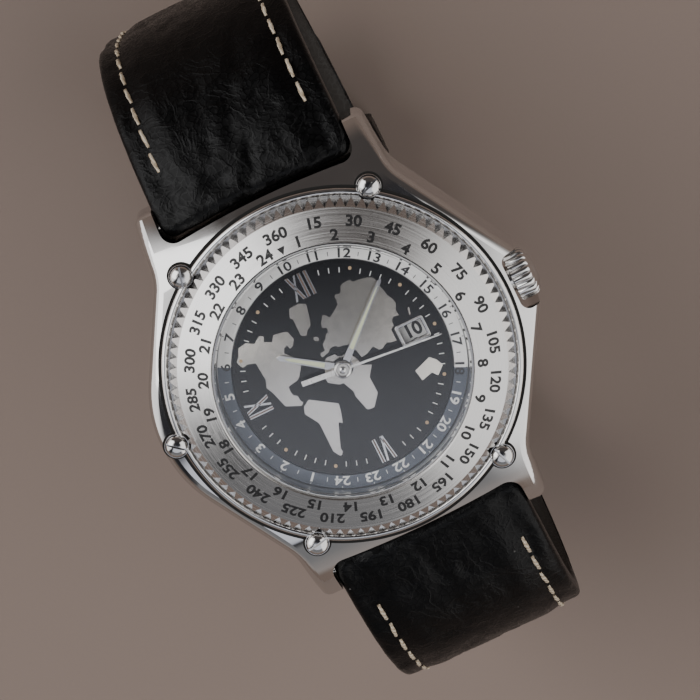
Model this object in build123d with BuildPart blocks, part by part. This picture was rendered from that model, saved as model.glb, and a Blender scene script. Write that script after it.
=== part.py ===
# World time watch: a round steel case with lugs, a toothed turning bezel, a dial with a
# 24-hour ring, an automatic movement and a leather strap closed by a pin buckle.
# Millimetres. The origin is the middle of the case back's outer face, on the axis of the
# hands. +X points to 3 o'clock and the crown, +Y to 12 o'clock, +Z out of the dial.

import os
from math import atan2, cos, degrees, radians, sin

from build123d import *

os.makedirs("parts", exist_ok=True)
pieces = {}

# Driving dimensions of the case
retaining_ring_outer = 17.15
nine_corner_radius = 13.0
case_bottom = 0.7
case_top = 7.7
lug_gap = 20.0
lug_tip_half_width = 11.9
lug_root_half_width = 12.4
lug_drop = 3.1
lug_foot = 0.35
lug_end_rounding = 0.8
strap_wall_sagitta = 0.55
strap_corner_radius = 1.4
shoulder_radius = 5.0
case_edge_rounding = 0.95
cut_overrun = 2.0
seam_gap = 0.02

# Driving dimensions of what fits in the case
movement_radius = 12.0
holder_wall = 0.9
fit_gap = 0.05
running_gap = 0.1
dial_top = 8.0
dial_radius = 10.45
hour24_outer_radius = 11.8
crystal_radius = 12.1
crystal_bottom = 9.4
crystal_thickness = 1.0
chimney_radius = 12.8
chimney_top = 10.0
bezel_floor = 7.4
back_radius = 16.0
back_flange = 1.1
back_boss_radius = 15.05
back_boss_top = 2.35

# Driving dimensions of the crown
crown_height = 4.9
crown_radius = 2.45

# Driving dimensions of the strap, which is a closed loop below the case
spring_bar_height = 3.3
spring_bar_radius = 0.75
strap_end_width = 19.8
strap_buckle_width = 18.0
strap_lug_thickness = 4.6
strap_thickness = 2.4
tail_thickness = 2.1
lining_thickness = 0.5
strap_start_angle = 18
shoulder_arc_radius = 15.8
lower_arc_radius = 19.8
short_strap_run = 3.3
long_strap_run = 5.3
short_side_run = 2.966
long_side_run = 3.498


def ring_point(radius, degrees, height=None):
    """A point on a circle round the hands' axis."""
    x, y = radius * cos(radians(degrees)), radius * sin(radians(degrees))
    return (x, y) if height is None else (x, y, height)


def turned(points, plane=Plane.XZ, axis=Axis.Z):
    """A piece turned on a lathe from its half section, a list of radius and height."""
    with BuildPart() as piece:
        with BuildSketch(plane):
            with BuildLine():
                Polyline(*points, close=True)
            make_face()
        revolve(axis=axis)
    return piece


def toothed_wheel(levels, bore=0, centre=(0, 0)):
    """A wheel on one axis from levels of outline points and a low and a high height."""
    with BuildPart() as wheel:
        for outline, low, high in levels:
            with BuildSketch(Plane.XY.offset(low)):
                with Locations(centre):
                    if isinstance(outline, list):
                        Polygon(*outline, align=None)
                    else:
                        Circle(outline)
            extrude(amount=high - low)
        if bore > 0:
            lowest = min(low for outline, low, high in levels)
            highest = max(high for outline, low, high in levels)
            with BuildSketch(Plane.XY.offset(lowest)):
                with Locations(centre):
                    Circle(bore)
            extrude(amount=highest - lowest, mode=Mode.SUBTRACT)
    return wheel


def ring_section(inner, outer, low, high):
    return [(inner, low), (outer, low), (outer, high), (inner, high)]


def tooth_points(tip_radius, depth, count, crest_share):
    """Outline of a toothed rim: a flat crest and a V-shaped gap for each tooth."""
    pitch = 360 / count
    points = []
    for tooth in range(count):
        points.append(ring_point(tip_radius, (tooth - crest_share / 2) * pitch))
        points.append(ring_point(tip_radius, (tooth + crest_share / 2) * pitch))
        points.append(ring_point(tip_radius - depth, (tooth + 1 / 2) * pitch))
    return points


# Case middle: plan outline, cut to its side outline, with rounded upper edges
hexagon_margin = 1.05
crown_floor_drop = 0.5
strap_wall_margin = 0.6
bar_wall_gap = 1.15
lug_end_length = 1.8
lug_root_inset = 3.55
lug_slope_inset = 1.0
hexagon_apothem = retaining_ring_outer + hexagon_margin
hexagon_radius = hexagon_apothem / cos(radians(30))
crown_floor = hexagon_apothem - crown_floor_drop
strap_wall_reach = retaining_ring_outer + strap_wall_margin
spring_bar_reach = strap_wall_reach + bar_wall_gap
lug_reach = spring_bar_reach + lug_end_length
lug_root_reach = strap_wall_reach - lug_root_inset
lug_slope_start = lug_root_reach - lug_slope_inset
lug_half_gap = lug_gap / 2
lug_top = case_top - lug_drop
wall_side_reach = strap_wall_reach - strap_wall_sagitta
holder_outer = movement_radius + fit_gap + holder_wall
holder_ceiling = 7.0
gasket_wall = 0.2
rehaut_outer = crystal_radius + gasket_wall
case_bore = rehaut_outer + fit_gap
drum_foot = 5.9
channel_wall = 0.3
channel_outer = retaining_ring_outer - channel_wall
gasket_outer = 15.75
gasket_top = 1.5
crown_recess_width = 5.7
crown_recess_rounding = 0.9
tube_radius = 1.25
bar_tip_radius = 0.37
bar_tip_length = 1.1
bar_hole_depth = 1.2
screw_circle_margin = 0.35
case_screw_radius = retaining_ring_outer + screw_circle_margin
case_screw_angles = (56, 124, 180, 236, 304)
screw_head_radius = 1.1
screw_pad_radius = 1.18
screw_shank_radius = 0.5
screw_length = 4.2
spring_pocket_inner = 14.0
spring_pocket_outer = 15.2
spring_pocket_floor = 7.0
spring_pocket_angles = (74, 106)

def strap_gap(side, clearance):
    """Plan of the space for the strap between two lugs, drawn in by a clearance."""
    half_gap = lug_half_gap - clearance / 2
    wall_side = side * (wall_side_reach + clearance)
    far = side * (lug_reach + cut_overrun)
    with BuildSketch(mode=Mode.PRIVATE) as gap:
        with BuildLine():
            ThreePointArc(
                (-half_gap, wall_side), (0, side * (strap_wall_reach + clearance)), (half_gap, wall_side)
            )
            Polyline((half_gap, wall_side), (half_gap, far), (-half_gap, far), (-half_gap, wall_side))
        make_face()
        wall_ends = [v for v in gap.vertices() if abs(v.Y - wall_side) < fit_gap]
        fillet(wall_ends, strap_corner_radius)
    return gap.sketch


with BuildPart() as case_middle:
    with BuildSketch(Plane.XY.offset(lug_foot)) as case_plan:
        RegularPolygon(hexagon_radius, 6)
        fillet(case_plan.vertices().sort_by(Axis.X)[0], nine_corner_radius)
        for side_x in (-1, 1):
            for side_y in (-1, 1):
                with BuildLine():
                    Polyline(
                        (side_x * lug_half_gap / 2, 0),
                        (side_x * lug_root_half_width, side_y * lug_root_reach),
                        (side_x * lug_tip_half_width, side_y * lug_reach),
                        (side_x * lug_half_gap / 2, side_y * lug_reach),
                        close=True,
                    )
                make_face()
        for side_y in (-1, 1):
            add(strap_gap(side_y, 0), mode=Mode.SUBTRACT)
        shoulders = [
            v for v in case_plan.vertices()
            if abs(abs(v.X) - lug_root_half_width) < 3 * running_gap and abs(v.Y) < spring_bar_reach
        ]
        fillet(shoulders, shoulder_radius)
    extrude(amount=case_top - lug_foot)
    with BuildSketch(Plane.YZ) as case_side:
        for side_y in (-1, 1):
            with BuildLine():
                Line((0, case_bottom), (0, case_top))
                Line((0, case_top), (side_y * lug_slope_start, case_top))
                TangentArc(
                    (side_y * lug_slope_start, case_top),
                    (side_y * lug_reach, lug_top),
                    tangent=(side_y, 0),
                )
                Polyline(
                    (side_y * lug_reach, lug_top),
                    (side_y * lug_reach, lug_foot),
                    (side_y * spring_bar_reach, lug_foot),
                    (side_y * strap_wall_reach, case_bottom),
                    (0, case_bottom),
                )
            make_face()
        # The sketch's own X is the case's Y.
        lug_ends = [v for v in case_side.vertices() if abs(v.X) > lug_reach - fit_gap]
        fillet([v for v in lug_ends if v.Y > case_bottom], lug_end_rounding)
        lug_feet = [v for v in case_side.vertices() if abs(v.X) > lug_reach - fit_gap and v.Y < case_bottom]
        chamfer(lug_feet, lug_end_rounding / 2)
    extrude(amount=hexagon_radius, both=True, mode=Mode.INTERSECT)
    outer_top_edges = [
        e for e in case_middle.edges()
        if abs(e.center().Z - case_top) < fit_gap and abs(e.center().X) > lug_half_gap
    ]
    fillet(outer_top_edges, case_edge_rounding)
    # The round seat of the bezel stands level where the lugs already slope.
    with BuildSketch(Plane.XY.offset(drum_foot)):
        Circle(retaining_ring_outer)
        for angle in case_screw_angles:
            with Locations(ring_point(case_screw_radius, angle)):
                Circle(screw_pad_radius)
    extrude(amount=case_top - drum_foot)
    with BuildSketch(Plane.XY.offset(drum_foot)):
        Circle(chimney_radius)
    extrude(amount=chimney_top - drum_foot)
    with BuildSketch(Plane.XZ):
        with BuildLine():
            Polyline(
                (0, -cut_overrun),
                (back_radius + running_gap, -cut_overrun),
                (back_radius + running_gap, back_flange),
                (gasket_outer + fit_gap, back_flange),
                (gasket_outer + fit_gap, gasket_top + fit_gap),
                (back_boss_radius + fit_gap, gasket_top + fit_gap),
                (back_boss_radius + fit_gap, back_boss_top + fit_gap),
                (holder_outer + fit_gap, back_boss_top + fit_gap),
                (holder_outer + fit_gap, holder_ceiling),
                (case_bore, holder_ceiling),
                (case_bore, chimney_top + cut_overrun),
                (0, chimney_top + cut_overrun),
                close=True,
            )
        make_face()
        with BuildLine():
            Polyline(
                (chimney_radius, bezel_floor),
                (channel_outer, bezel_floor),
                (channel_outer, case_top + cut_overrun),
                (chimney_radius, case_top + cut_overrun),
                close=True,
            )
        make_face()
    revolve(axis=Axis.Z, mode=Mode.SUBTRACT)
    with BuildSketch(Plane.XY.offset(spring_pocket_floor)):
        with BuildLine():
            pocket_start, pocket_end = spring_pocket_angles
            CenterArc((0, 0), spring_pocket_inner, pocket_start, pocket_end - pocket_start)
            CenterArc((0, 0), spring_pocket_outer, pocket_start, pocket_end - pocket_start)
            for angle in spring_pocket_angles:
                Line(ring_point(spring_pocket_inner, angle), ring_point(spring_pocket_outer, angle))
        make_face()
    extrude(amount=cut_overrun, mode=Mode.SUBTRACT)
    # The crown sits in a slot across the corner at 3 o'clock.
    with BuildSketch(Plane.XY) as crown_slot:
        with Locations((crown_floor, 0)):
            Rectangle(hexagon_radius, crown_recess_width, align=(Align.MIN, Align.CENTER))
        fillet(crown_slot.vertices().group_by(Axis.X)[0], crown_recess_rounding)
    extrude(amount=case_top + cut_overrun, mode=Mode.SUBTRACT)
    with BuildSketch(Plane.YZ.offset(movement_radius)):
        with Locations((0, crown_height)):
            Circle(tube_radius + seam_gap)
    extrude(amount=hexagon_radius - movement_radius, mode=Mode.SUBTRACT)
    with BuildSketch(Plane.YZ):
        with Locations((spring_bar_reach, spring_bar_height), (-spring_bar_reach, spring_bar_height)):
            Circle(bar_tip_radius + fit_gap)
    extrude(amount=lug_half_gap + bar_hole_depth, both=True, mode=Mode.SUBTRACT)
    with BuildSketch(Plane.XY.offset(case_top)):
        for angle in case_screw_angles:
            with Locations(ring_point(case_screw_radius, angle)):
                Circle(screw_shank_radius + fit_gap)
    extrude(amount=-screw_length, mode=Mode.SUBTRACT)
pieces["case_middle"] = case_middle

# Case back: a screwed disc with opener notches, its threaded boss and its gasket
back_chamfer = 0.3
back_boss_inner = 12.6
opener_notch_width = 2.6
opener_notch_length = 1.6
opener_notch_depth = 0.7

with BuildPart() as case_back:
    with BuildSketch(Plane.XZ):
        with BuildLine():
            Polyline(
                (0, 0),
                (back_radius - back_chamfer, 0),
                (back_radius, back_chamfer),
                (back_radius, back_flange),
                (back_boss_radius, back_flange),
                (back_boss_radius, back_boss_top),
                (back_boss_inner, back_boss_top),
                (back_boss_inner, back_flange),
                (0, back_flange),
                close=True,
            )
        make_face()
    revolve(axis=Axis.Z)
    with BuildSketch(Plane.XY):
        with PolarLocations(back_radius, 6):
            Rectangle(2 * opener_notch_length, opener_notch_width)
    extrude(amount=opener_notch_depth, mode=Mode.SUBTRACT)
pieces["case_back"] = case_back
pieces["case_back_gasket"] = turned(
    ring_section(back_boss_radius + fit_gap, gasket_outer, back_flange, gasket_top)
)

# Bezel: a turning ring with a toothed edge, held down by a ring with five screws
ring_width = 0.7
ring_thickness = 0.4
tooth_ring_gap = 0.15
bezel_side_top = 8.55
tooth_depth = 0.7
tooth_count = 100
tooth_crest_share = 0.2
cone_foot_height = 9.22
cone_top_radius = 12.45
cone_top_height = 10.38
bezel_lip_radius = 12.3
bezel_lip_edge_height = 10.25
screw_head_height = 0.45
screw_slot_width = 0.3
screw_slot_depth = 0.2
screw_slot_angles = (20, 75, 140, 10, 110)
spring_thickness = 0.18

ring_inner = retaining_ring_outer - ring_width
bezel_tip_radius = ring_inner - tooth_ring_gap
bezel_flange_radius = channel_outer - running_gap
ring_top = case_top + ring_thickness
with BuildPart() as bezel_retaining_ring:
    with BuildSketch(Plane.XY.offset(case_top)):
        Circle(retaining_ring_outer)
        for angle in case_screw_angles:
            with Locations(ring_point(case_screw_radius, angle)):
                Circle(screw_pad_radius)
        Circle(ring_inner, mode=Mode.SUBTRACT)
        for angle in case_screw_angles:
            with Locations(ring_point(case_screw_radius, angle)):
                Circle(screw_shank_radius + fit_gap, mode=Mode.SUBTRACT)
    extrude(amount=ring_thickness)
pieces["bezel_retaining_ring"] = bezel_retaining_ring

with BuildPart() as case_screws:
    with BuildSketch(Plane.XY.offset(ring_top)):
        for angle in case_screw_angles:
            with Locations(ring_point(case_screw_radius, angle)):
                Circle(screw_head_radius)
    extrude(amount=screw_head_height)
    with BuildSketch(Plane.XY.offset(ring_top)):
        for angle in case_screw_angles:
            with Locations(ring_point(case_screw_radius, angle)):
                Circle(screw_shank_radius)
    extrude(amount=-screw_length)
    with BuildSketch(Plane.XY.offset(ring_top + screw_head_height)):
        for angle, slot_angle in zip(case_screw_angles, screw_slot_angles):
            with Locations(Location((*ring_point(case_screw_radius, angle), 0), (0, 0, slot_angle))):
                Rectangle(3 * screw_head_radius, screw_slot_width)
    extrude(amount=-screw_slot_depth, mode=Mode.SUBTRACT)
pieces["case_screws"] = case_screws

flange_top = case_top - fit_gap
with BuildPart() as bezel:
    with BuildSketch(Plane.XZ):
        with BuildLine():
            Polyline(
                (chimney_radius + running_gap, bezel_floor + fit_gap),
                (bezel_flange_radius, bezel_floor + fit_gap),
                (bezel_flange_radius, flange_top),
                (bezel_tip_radius, flange_top),
                (bezel_tip_radius, bezel_side_top),
                (bezel_tip_radius - tooth_depth, cone_foot_height),
                (cone_top_radius, cone_top_height),
                (bezel_lip_radius, bezel_lip_edge_height),
                (bezel_lip_radius, chimney_top + running_gap),
                (chimney_radius + running_gap, chimney_top + running_gap),
                close=True,
            )
        make_face()
    revolve(axis=Axis.Z)
    with BuildSketch(Plane.XY.offset(flange_top)):
        Circle(bezel_flange_radius + cut_overrun)
        Polygon(
            *tooth_points(bezel_tip_radius, tooth_depth, tooth_count, tooth_crest_share),
            align=None, mode=Mode.SUBTRACT,
        )
    extrude(amount=cut_overrun, mode=Mode.SUBTRACT)
pieces["bezel"] = bezel

spring_inner = spring_pocket_inner + 2 * running_gap
spring_outer = spring_pocket_outer - 2 * running_gap
spring_start = spring_pocket_angles[0] + 1
spring_sweep = spring_pocket_angles[1] - spring_pocket_angles[0] - 2
with BuildPart() as bezel_click_spring:
    for sweep, low, high in (
        (spring_sweep, spring_pocket_floor + seam_gap, spring_pocket_floor + spring_thickness),
        (2, spring_pocket_floor + spring_thickness / 2, bezel_floor),
    ):
        with BuildSketch(Plane.XY.offset(low)):
            with BuildLine():
                CenterArc((0, 0), spring_inner, spring_start, sweep)
                CenterArc((0, 0), spring_outer, spring_start, sweep)
                Line(ring_point(spring_inner, spring_start), ring_point(spring_outer, spring_start))
                Line(
                    ring_point(spring_inner, spring_start + sweep),
                    ring_point(spring_outer, spring_start + sweep),
                )
            make_face()
        extrude(amount=high - low)
pieces["bezel_click_spring"] = bezel_click_spring

# Crystal, its gasket and the sloping ring below it
crystal_chamfer = 0.15
crystal_top = crystal_bottom + crystal_thickness
rehaut_bottom = 7.2
rehaut_inner = 11.9
rehaut_slope_foot = 8.05
rehaut_slope_top_radius = 12.15
gasket_foot = crystal_bottom - running_gap
pieces["crystal"] = turned([
    (0, crystal_bottom),
    (crystal_radius, crystal_bottom),
    (crystal_radius, crystal_top - crystal_chamfer),
    (crystal_radius - crystal_chamfer, crystal_top),
    (0, crystal_top),
])
pieces["crystal_gasket"] = turned([
    (crystal_radius - running_gap, gasket_foot),
    (case_bore, gasket_foot),
    (case_bore, chimney_top),
    (crystal_radius + seam_gap, chimney_top),
    (crystal_radius + seam_gap, crystal_bottom),
    (crystal_radius - running_gap, crystal_bottom),
])
pieces["rehaut_ring"] = turned([
    (rehaut_inner, rehaut_bottom),
    (rehaut_outer, rehaut_bottom),
    (rehaut_outer, gasket_foot - seam_gap),
    (rehaut_slope_top_radius, gasket_foot - seam_gap),
    (rehaut_inner, rehaut_slope_foot),
])

# Dial with its window and feet, and what is fixed on it
dial_thickness = 0.4
dial_hole = 1.0
dial_foot_radius = 0.3
dial_foot_reach = 5.3
dial_foot_end = 6.0
window_left = 6.3
window_right = 8.6
window_low = -0.6
window_high = 1.05
frame_wall = 0.2
frame_height = 0.15
numeral_radius = 8.8
numeral_height = 2.4
numeral_thickness = 0.2
thick_stroke = 0.36
thin_stroke = 0.18
letter_half_width = 0.42
serif_height = 0.14
map_thickness = 0.06

window_width = window_right - window_left
window_height = window_high - window_low
window_centre = ((window_left + window_right) / 2, (window_low + window_high) / 2)
with BuildPart() as dial:
    with BuildSketch(Plane.XY.offset(dial_top)):
        Circle(dial_radius)
        Circle(dial_hole, mode=Mode.SUBTRACT)
        with Locations(window_centre):
            Rectangle(window_width, window_height, mode=Mode.SUBTRACT)
    extrude(amount=-dial_thickness)
    with BuildSketch(Plane.XY.offset(dial_foot_end)):
        with Locations((0, dial_foot_reach), (0, -dial_foot_reach)):
            Circle(dial_foot_radius)
    extrude(amount=dial_top - dial_thickness / 2 - dial_foot_end)
pieces["dial"] = dial

with BuildPart() as date_frame:
    with BuildSketch(Plane.XY.offset(dial_top)):
        with Locations(window_centre):
            Rectangle(window_width + 2 * frame_wall, window_height + 2 * frame_wall)
            Rectangle(window_width, window_height, mode=Mode.SUBTRACT)
    extrude(amount=frame_height)
pieces["date_frame"] = date_frame

# Each letter is a list of strokes: its foot, its head and its width.
half_height = numeral_height / 2
letter_strokes = {
    "I": [(0, 0, thick_stroke)],
    "V": [(0, -letter_half_width, thick_stroke), (0, letter_half_width, thin_stroke)],
    "X": [
        (letter_half_width, -letter_half_width, thick_stroke),
        (-letter_half_width, letter_half_width, thin_stroke),
    ],
}
letter_pitch = {"I": 0.62, "V": 1.0, "X": 1.05}

with BuildPart() as hour_numerals:
    for numeral, angle in (("XII", 90), ("IX", 180), ("VI", 270)):
        width = sum(letter_pitch[letter] for letter in numeral)
        plane = Plane(
            origin=ring_point(numeral_radius, angle, dial_top),
            x_dir=(sin(radians(angle)), -cos(radians(angle)), 0),
            z_dir=(0, 0, 1),
        )
        with BuildSketch(plane):
            left = -width / 2
            for letter in numeral:
                middle = left + letter_pitch[letter] / 2
                for foot, head, stroke in letter_strokes[letter]:
                    Polygon(
                        (middle + foot - stroke / 2, -half_height),
                        (middle + foot + stroke / 2, -half_height),
                        (middle + head + stroke / 2, half_height),
                        (middle + head - stroke / 2, half_height),
                        align=None,
                    )
                left += letter_pitch[letter]
            for end in (-1, 1):
                with Locations((0, end * (half_height - serif_height / 2))):
                    Rectangle(width, serif_height)
        extrude(amount=numeral_thickness)
pieces["hour_numerals"] = hour_numerals

# Outlines of the lands, as shares of the dial's radius
land_shares = (
    (
        (-0.76, 0.57), (-0.68, 0.59), (-0.61, 0.56), (-0.56, 0.6), (-0.51, 0.57), (-0.52, 0.52),
        (-0.46, 0.5), (-0.42, 0.55), (-0.33, 0.54), (-0.28, 0.43), (-0.39, 0.35), (-0.3, 0.18),
        (-0.36, 0.09), (-0.52, 0.06), (-0.52, 0), (-0.45, -0.13), (-0.48, -0.16), (-0.61, -0.09),
        (-0.69, 0.14), (-0.68, 0.4), (-0.82, 0.42),
    ),
    (
        (-0.41, -0.13), (-0.18, -0.29), (-0.21, -0.45), (-0.34, -0.67), (-0.41, -0.7),
        (-0.41, -0.36), (-0.49, -0.24),
    ),
    (
        (-0.18, -0.06), (-0.12, 0.09), (0.03, 0.11), (0.14, 0.06), (0.25, -0.09), (0.19, -0.19),
        (0.2, -0.35), (0.11, -0.45), (0.04, -0.44), (0, -0.23), (-0.11, -0.12),
    ),
    ((-0.2, 0.69), (-0.07, 0.7), (-0.03, 0.67), (-0.05, 0.52), (-0.15, 0.41), (-0.19, 0.57)),
    (
        (0.07, 0.52), (0.11, 0.48), (0.23, 0.56), (0.24, 0.65), (0.33, 0.7), (0.43, 0.71),
        (0.57, 0.67), (0.65, 0.44), (0.67, 0.3), (0.59, 0.21), (0.56, 0.08), (0.48, 0.12),
        (0.42, -0.06), (0.34, 0.1), (0.25, 0.02), (0.18, 0.14), (0.04, 0.21), (-0.11, 0.18),
        (0, 0.33), (0, 0.4),
    ),
    (
        (0.58, -0.32), (0.75, -0.26), (0.8, -0.31), (0.83, -0.38), (0.75, -0.45), (0.71, -0.4),
        (0.6, -0.43),
    ),
)
with BuildPart() as world_map:
    with BuildSketch(Plane.XY.offset(dial_top)):
        for outline in land_shares:
            Polygon(*[(x * dial_radius, y * dial_radius) for x, y in outline], align=None)
        Circle(dial_hole + fit_gap, mode=Mode.SUBTRACT)
    extrude(amount=map_thickness)
pieces["world_map"] = world_map

# Ring with the 24 hours, the date ring below the dial and the plate that holds both
hour24_inner = dial_radius + running_gap
hour24_edge = 0.25
hour24_web_radius = 10.9
hour24_flange_inner = 9.5
hour24_flange_low = 7.2
hour24_flange_high = 7.5
calendar_plate_inner = 9.1
main_plate_bottom = 5.3
main_plate_top = 6.8
calendar_plate_low = main_plate_top + seam_gap
calendar_plate_high = hour24_flange_low - fit_gap
date_ring_outer = calendar_plate_inner - running_gap
date_ring_inner = 6.0
date_ring_low = main_plate_top + fit_gap
date_ring_high = 7.05
date_tooth_depth = 0.35
date_count = 31
pieces["hour24_ring"] = turned([
    (hour24_flange_inner, hour24_flange_low),
    (hour24_web_radius, hour24_flange_low),
    (hour24_web_radius, dial_top - hour24_edge),
    (hour24_outer_radius, dial_top - hour24_edge),
    (hour24_outer_radius, dial_top),
    (hour24_inner, dial_top),
    (hour24_inner, hour24_flange_high),
    (hour24_flange_inner, hour24_flange_high),
])
pieces["calendar_plate"] = turned(
    ring_section(calendar_plate_inner, movement_radius, calendar_plate_low, calendar_plate_high)
)
with BuildPart() as date_ring:
    with BuildSketch(Plane.XY.offset(date_ring_low)):
        Circle(date_ring_outer)
        Polygon(
            *tooth_points(date_ring_inner + date_tooth_depth, date_tooth_depth, date_count, 0.5),
            align=None, mode=Mode.SUBTRACT,
        )
    extrude(amount=date_ring_high - date_ring_low)
pieces["date_ring"] = date_ring

# Crown with its flutes, its tube, seal and stem, turned about the stem's axis
crown_gap = 0.15
crown_start = crown_floor + crown_gap
crown_flute_end = 19.75
crown_dome_radius = 1.9
crown_dome_end = 20.05
crown_boss_radius = 1.45
crown_end = 20.4
crown_bore_radius = 1.5
crown_bore_end = 19.2
flute_count = 22
flute_radius = 0.22
tube_bore_radius = 0.75
tube_start = holder_outer + 2 * running_gap
tube_end = 18.9
seal_radius = crown_bore_radius - seam_gap
seal_start = 17.95
seal_end = 18.3
stem_radius = 0.45
stem_start = 8.0
stem_end = 19.9
holder_hole_radius = 0.9
stem_groove_radius = 0.6

crown_section = Plane(origin=(0, 0, crown_height), x_dir=(1, 0, 0), z_dir=(0, -1, 0))
crown_axis = Axis((0, 0, crown_height), (1, 0, 0))
with BuildPart() as crown:
    with BuildSketch(crown_section):
        with BuildLine():
            Polyline(
                (crown_start, crown_bore_radius),
                (crown_start, crown_radius),
                (crown_flute_end - running_gap, crown_radius),
                (crown_dome_end - running_gap, (crown_radius + crown_dome_radius) / 2),
                (crown_dome_end, crown_dome_radius),
                (crown_dome_end, crown_boss_radius),
                (crown_end, crown_boss_radius - running_gap),
                (crown_end, 0),
                (stem_end + seam_gap, 0),
                (stem_end + seam_gap, stem_radius + seam_gap),
                (crown_bore_end, stem_radius + seam_gap),
                (crown_bore_end, crown_bore_radius),
                close=True,
            )
        make_face()
    revolve(axis=crown_axis)
    with BuildSketch(Plane(origin=(crown_start, 0, crown_height), x_dir=(0, 1, 0), z_dir=(1, 0, 0))):
        with PolarLocations(crown_radius + fit_gap, flute_count):
            Circle(flute_radius)
    extrude(amount=crown_flute_end - crown_start, mode=Mode.SUBTRACT)
pieces["crown"] = crown
pieces["crown_tube"] = turned(
    [(tube_start, tube_bore_radius), (tube_end, tube_bore_radius),
     (tube_end, tube_radius), (tube_start, tube_radius)],
    crown_section, crown_axis,
)
pieces["crown_seal"] = turned(
    [(seal_start, tube_radius + seam_gap), (seal_end, tube_radius + seam_gap),
     (seal_end, seal_radius), (seal_start, seal_radius)],
    crown_section, crown_axis,
)
pieces["winding_stem"] = turned(
    [(stem_start, 0), (stem_end, 0), (stem_end, stem_radius), (stem_start, stem_radius)],
    crown_section, crown_axis,
)

# Movement: plates and bridges
bridge_radius = 11.6
bridge_low = 3.1
bridge_high = 4.0
cock_low = 2.85
cock_width = 2.6
arbor_radius = 0.12
pivot_hole_radius = 0.16
centre_hole_radius = 0.65
barrel_distance = 7.1
barrel_angle = 110
third_distance = 3.0
third_angle = 200
escape_distance = 2.53
escape_angle = -45
cock_angle = 45
balance_centre = (5.9, -5.4)
balance_radius = 3.4
balance_clear_radius = 3.7
minute_wheel_distance = 2.9
minute_wheel_angle = 150
minute_post_radius = 0.25
barrel_arbor_radius = 0.5

barrel_centre = ring_point(barrel_distance, barrel_angle)
third_centre = ring_point(third_distance, third_angle)
escape_centre = ring_point(escape_distance, escape_angle)
minute_wheel_centre = ring_point(minute_wheel_distance, minute_wheel_angle)
escape_to_balance = (balance_centre[0] - escape_centre[0], balance_centre[1] - escape_centre[1])
pallet_share = 0.44
pallet_centre = (
    escape_centre[0] + escape_to_balance[0] * pallet_share,
    escape_centre[1] + escape_to_balance[1] * pallet_share,
)
minute_post_top = 7.3
pivots = (third_centre, escape_centre, pallet_centre)

with BuildPart() as movement_holder:
    with BuildSketch(Plane.XY.offset(back_boss_top + fit_gap)):
        Circle(holder_outer)
        Circle(movement_radius + fit_gap, mode=Mode.SUBTRACT)
    extrude(amount=holder_ceiling - back_boss_top - 2 * fit_gap)
    with BuildSketch(Plane.YZ):
        with Locations((0, crown_height)):
            Circle(holder_hole_radius)
    extrude(amount=2 * movement_radius, mode=Mode.SUBTRACT)
pieces["movement_holder"] = movement_holder

with BuildPart() as main_plate:
    with BuildSketch(Plane.XY.offset(main_plate_bottom)):
        Circle(movement_radius)
        Circle(centre_hole_radius, mode=Mode.SUBTRACT)
        with Locations((0, dial_foot_reach), (0, -dial_foot_reach)):
            Circle(dial_foot_radius + fit_gap, mode=Mode.SUBTRACT)
    extrude(amount=main_plate_top - main_plate_bottom)
    with BuildSketch(Plane.XY.offset(main_plate_bottom)):
        with Locations(*pivots, balance_centre):
            Circle(pivot_hole_radius)
        with Locations(barrel_centre):
            Circle(barrel_arbor_radius + fit_gap)
    extrude(amount=(main_plate_top - main_plate_bottom) / 2, mode=Mode.SUBTRACT)
    with BuildSketch(Plane.XY.offset(main_plate_top)):
        with Locations(minute_wheel_centre):
            Circle(minute_post_radius)
    extrude(amount=minute_post_top - main_plate_top)
    with BuildSketch(Plane.YZ.offset(stem_start - 2 * running_gap)):
        with Locations((0, crown_height)):
            Circle(stem_groove_radius)
    extrude(amount=movement_radius, mode=Mode.SUBTRACT)
pieces["main_plate"] = main_plate

with BuildPart() as train_bridge:
    with BuildSketch(Plane.XY.offset(bridge_low)):
        Circle(bridge_radius)
        with Locations(balance_centre):
            Circle(balance_clear_radius, mode=Mode.SUBTRACT)
    extrude(amount=bridge_high - bridge_low)
    with BuildSketch(Plane.XY.offset(bridge_high)):
        with Locations((0, 0), *pivots):
            Circle(pivot_hole_radius)
        with Locations(barrel_centre):
            Circle(barrel_arbor_radius + fit_gap)
    extrude(amount=-(bridge_high - bridge_low) / 2, mode=Mode.SUBTRACT)
pieces["train_bridge"] = train_bridge

with BuildPart() as balance_cock:
    with BuildSketch(Plane.XY.offset(cock_low)):
        with Locations(balance_centre):
            SlotCenterToCenter(2 * (balance_clear_radius + cock_width / 3), cock_width, rotation=cock_angle)
            Circle(pivot_hole_radius, mode=Mode.SUBTRACT)
    extrude(amount=bridge_low - seam_gap - cock_low)
pieces["balance_cock"] = balance_cock

# Movement: the going train, whose teeth stay just short of each other
mesh_gap = 0.04
lower_pivot_length = 0.4
upper_pivot_length = 0.6
arbor_end_gap = 0.06
centre_to_third = 8
third_to_seconds = 7.5
seconds_to_escape = 10
cannon_to_minute = 3
minute_to_hour = 4
arbor_low = bridge_high - lower_pivot_length
arbor_high = main_plate_bottom + upper_pivot_length
third_pinion_radius = third_distance / (centre_to_third + 1)
centre_pitch_radius = third_distance - third_pinion_radius
seconds_pinion_radius = third_distance / (third_to_seconds + 1)
third_pitch_radius = third_distance - seconds_pinion_radius
escape_pinion_radius = escape_distance / (seconds_to_escape + 1)
seconds_pitch_radius = escape_distance - escape_pinion_radius
cannon_pitch_radius = minute_wheel_distance / (cannon_to_minute + 1)
minute_pitch_radius = minute_wheel_distance - cannon_pitch_radius
minute_pinion_radius = minute_wheel_distance / (minute_to_hour + 1)
hour_pitch_radius = minute_wheel_distance - minute_pinion_radius
tooth_height = 0.2
pinion_tooth_height = 0.1
escape_radius = 1.9
escape_tooth_height = 0.3
barrel_radius = 4.35
barrel_low = 4.1
barrel_high = 5.2
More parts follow.
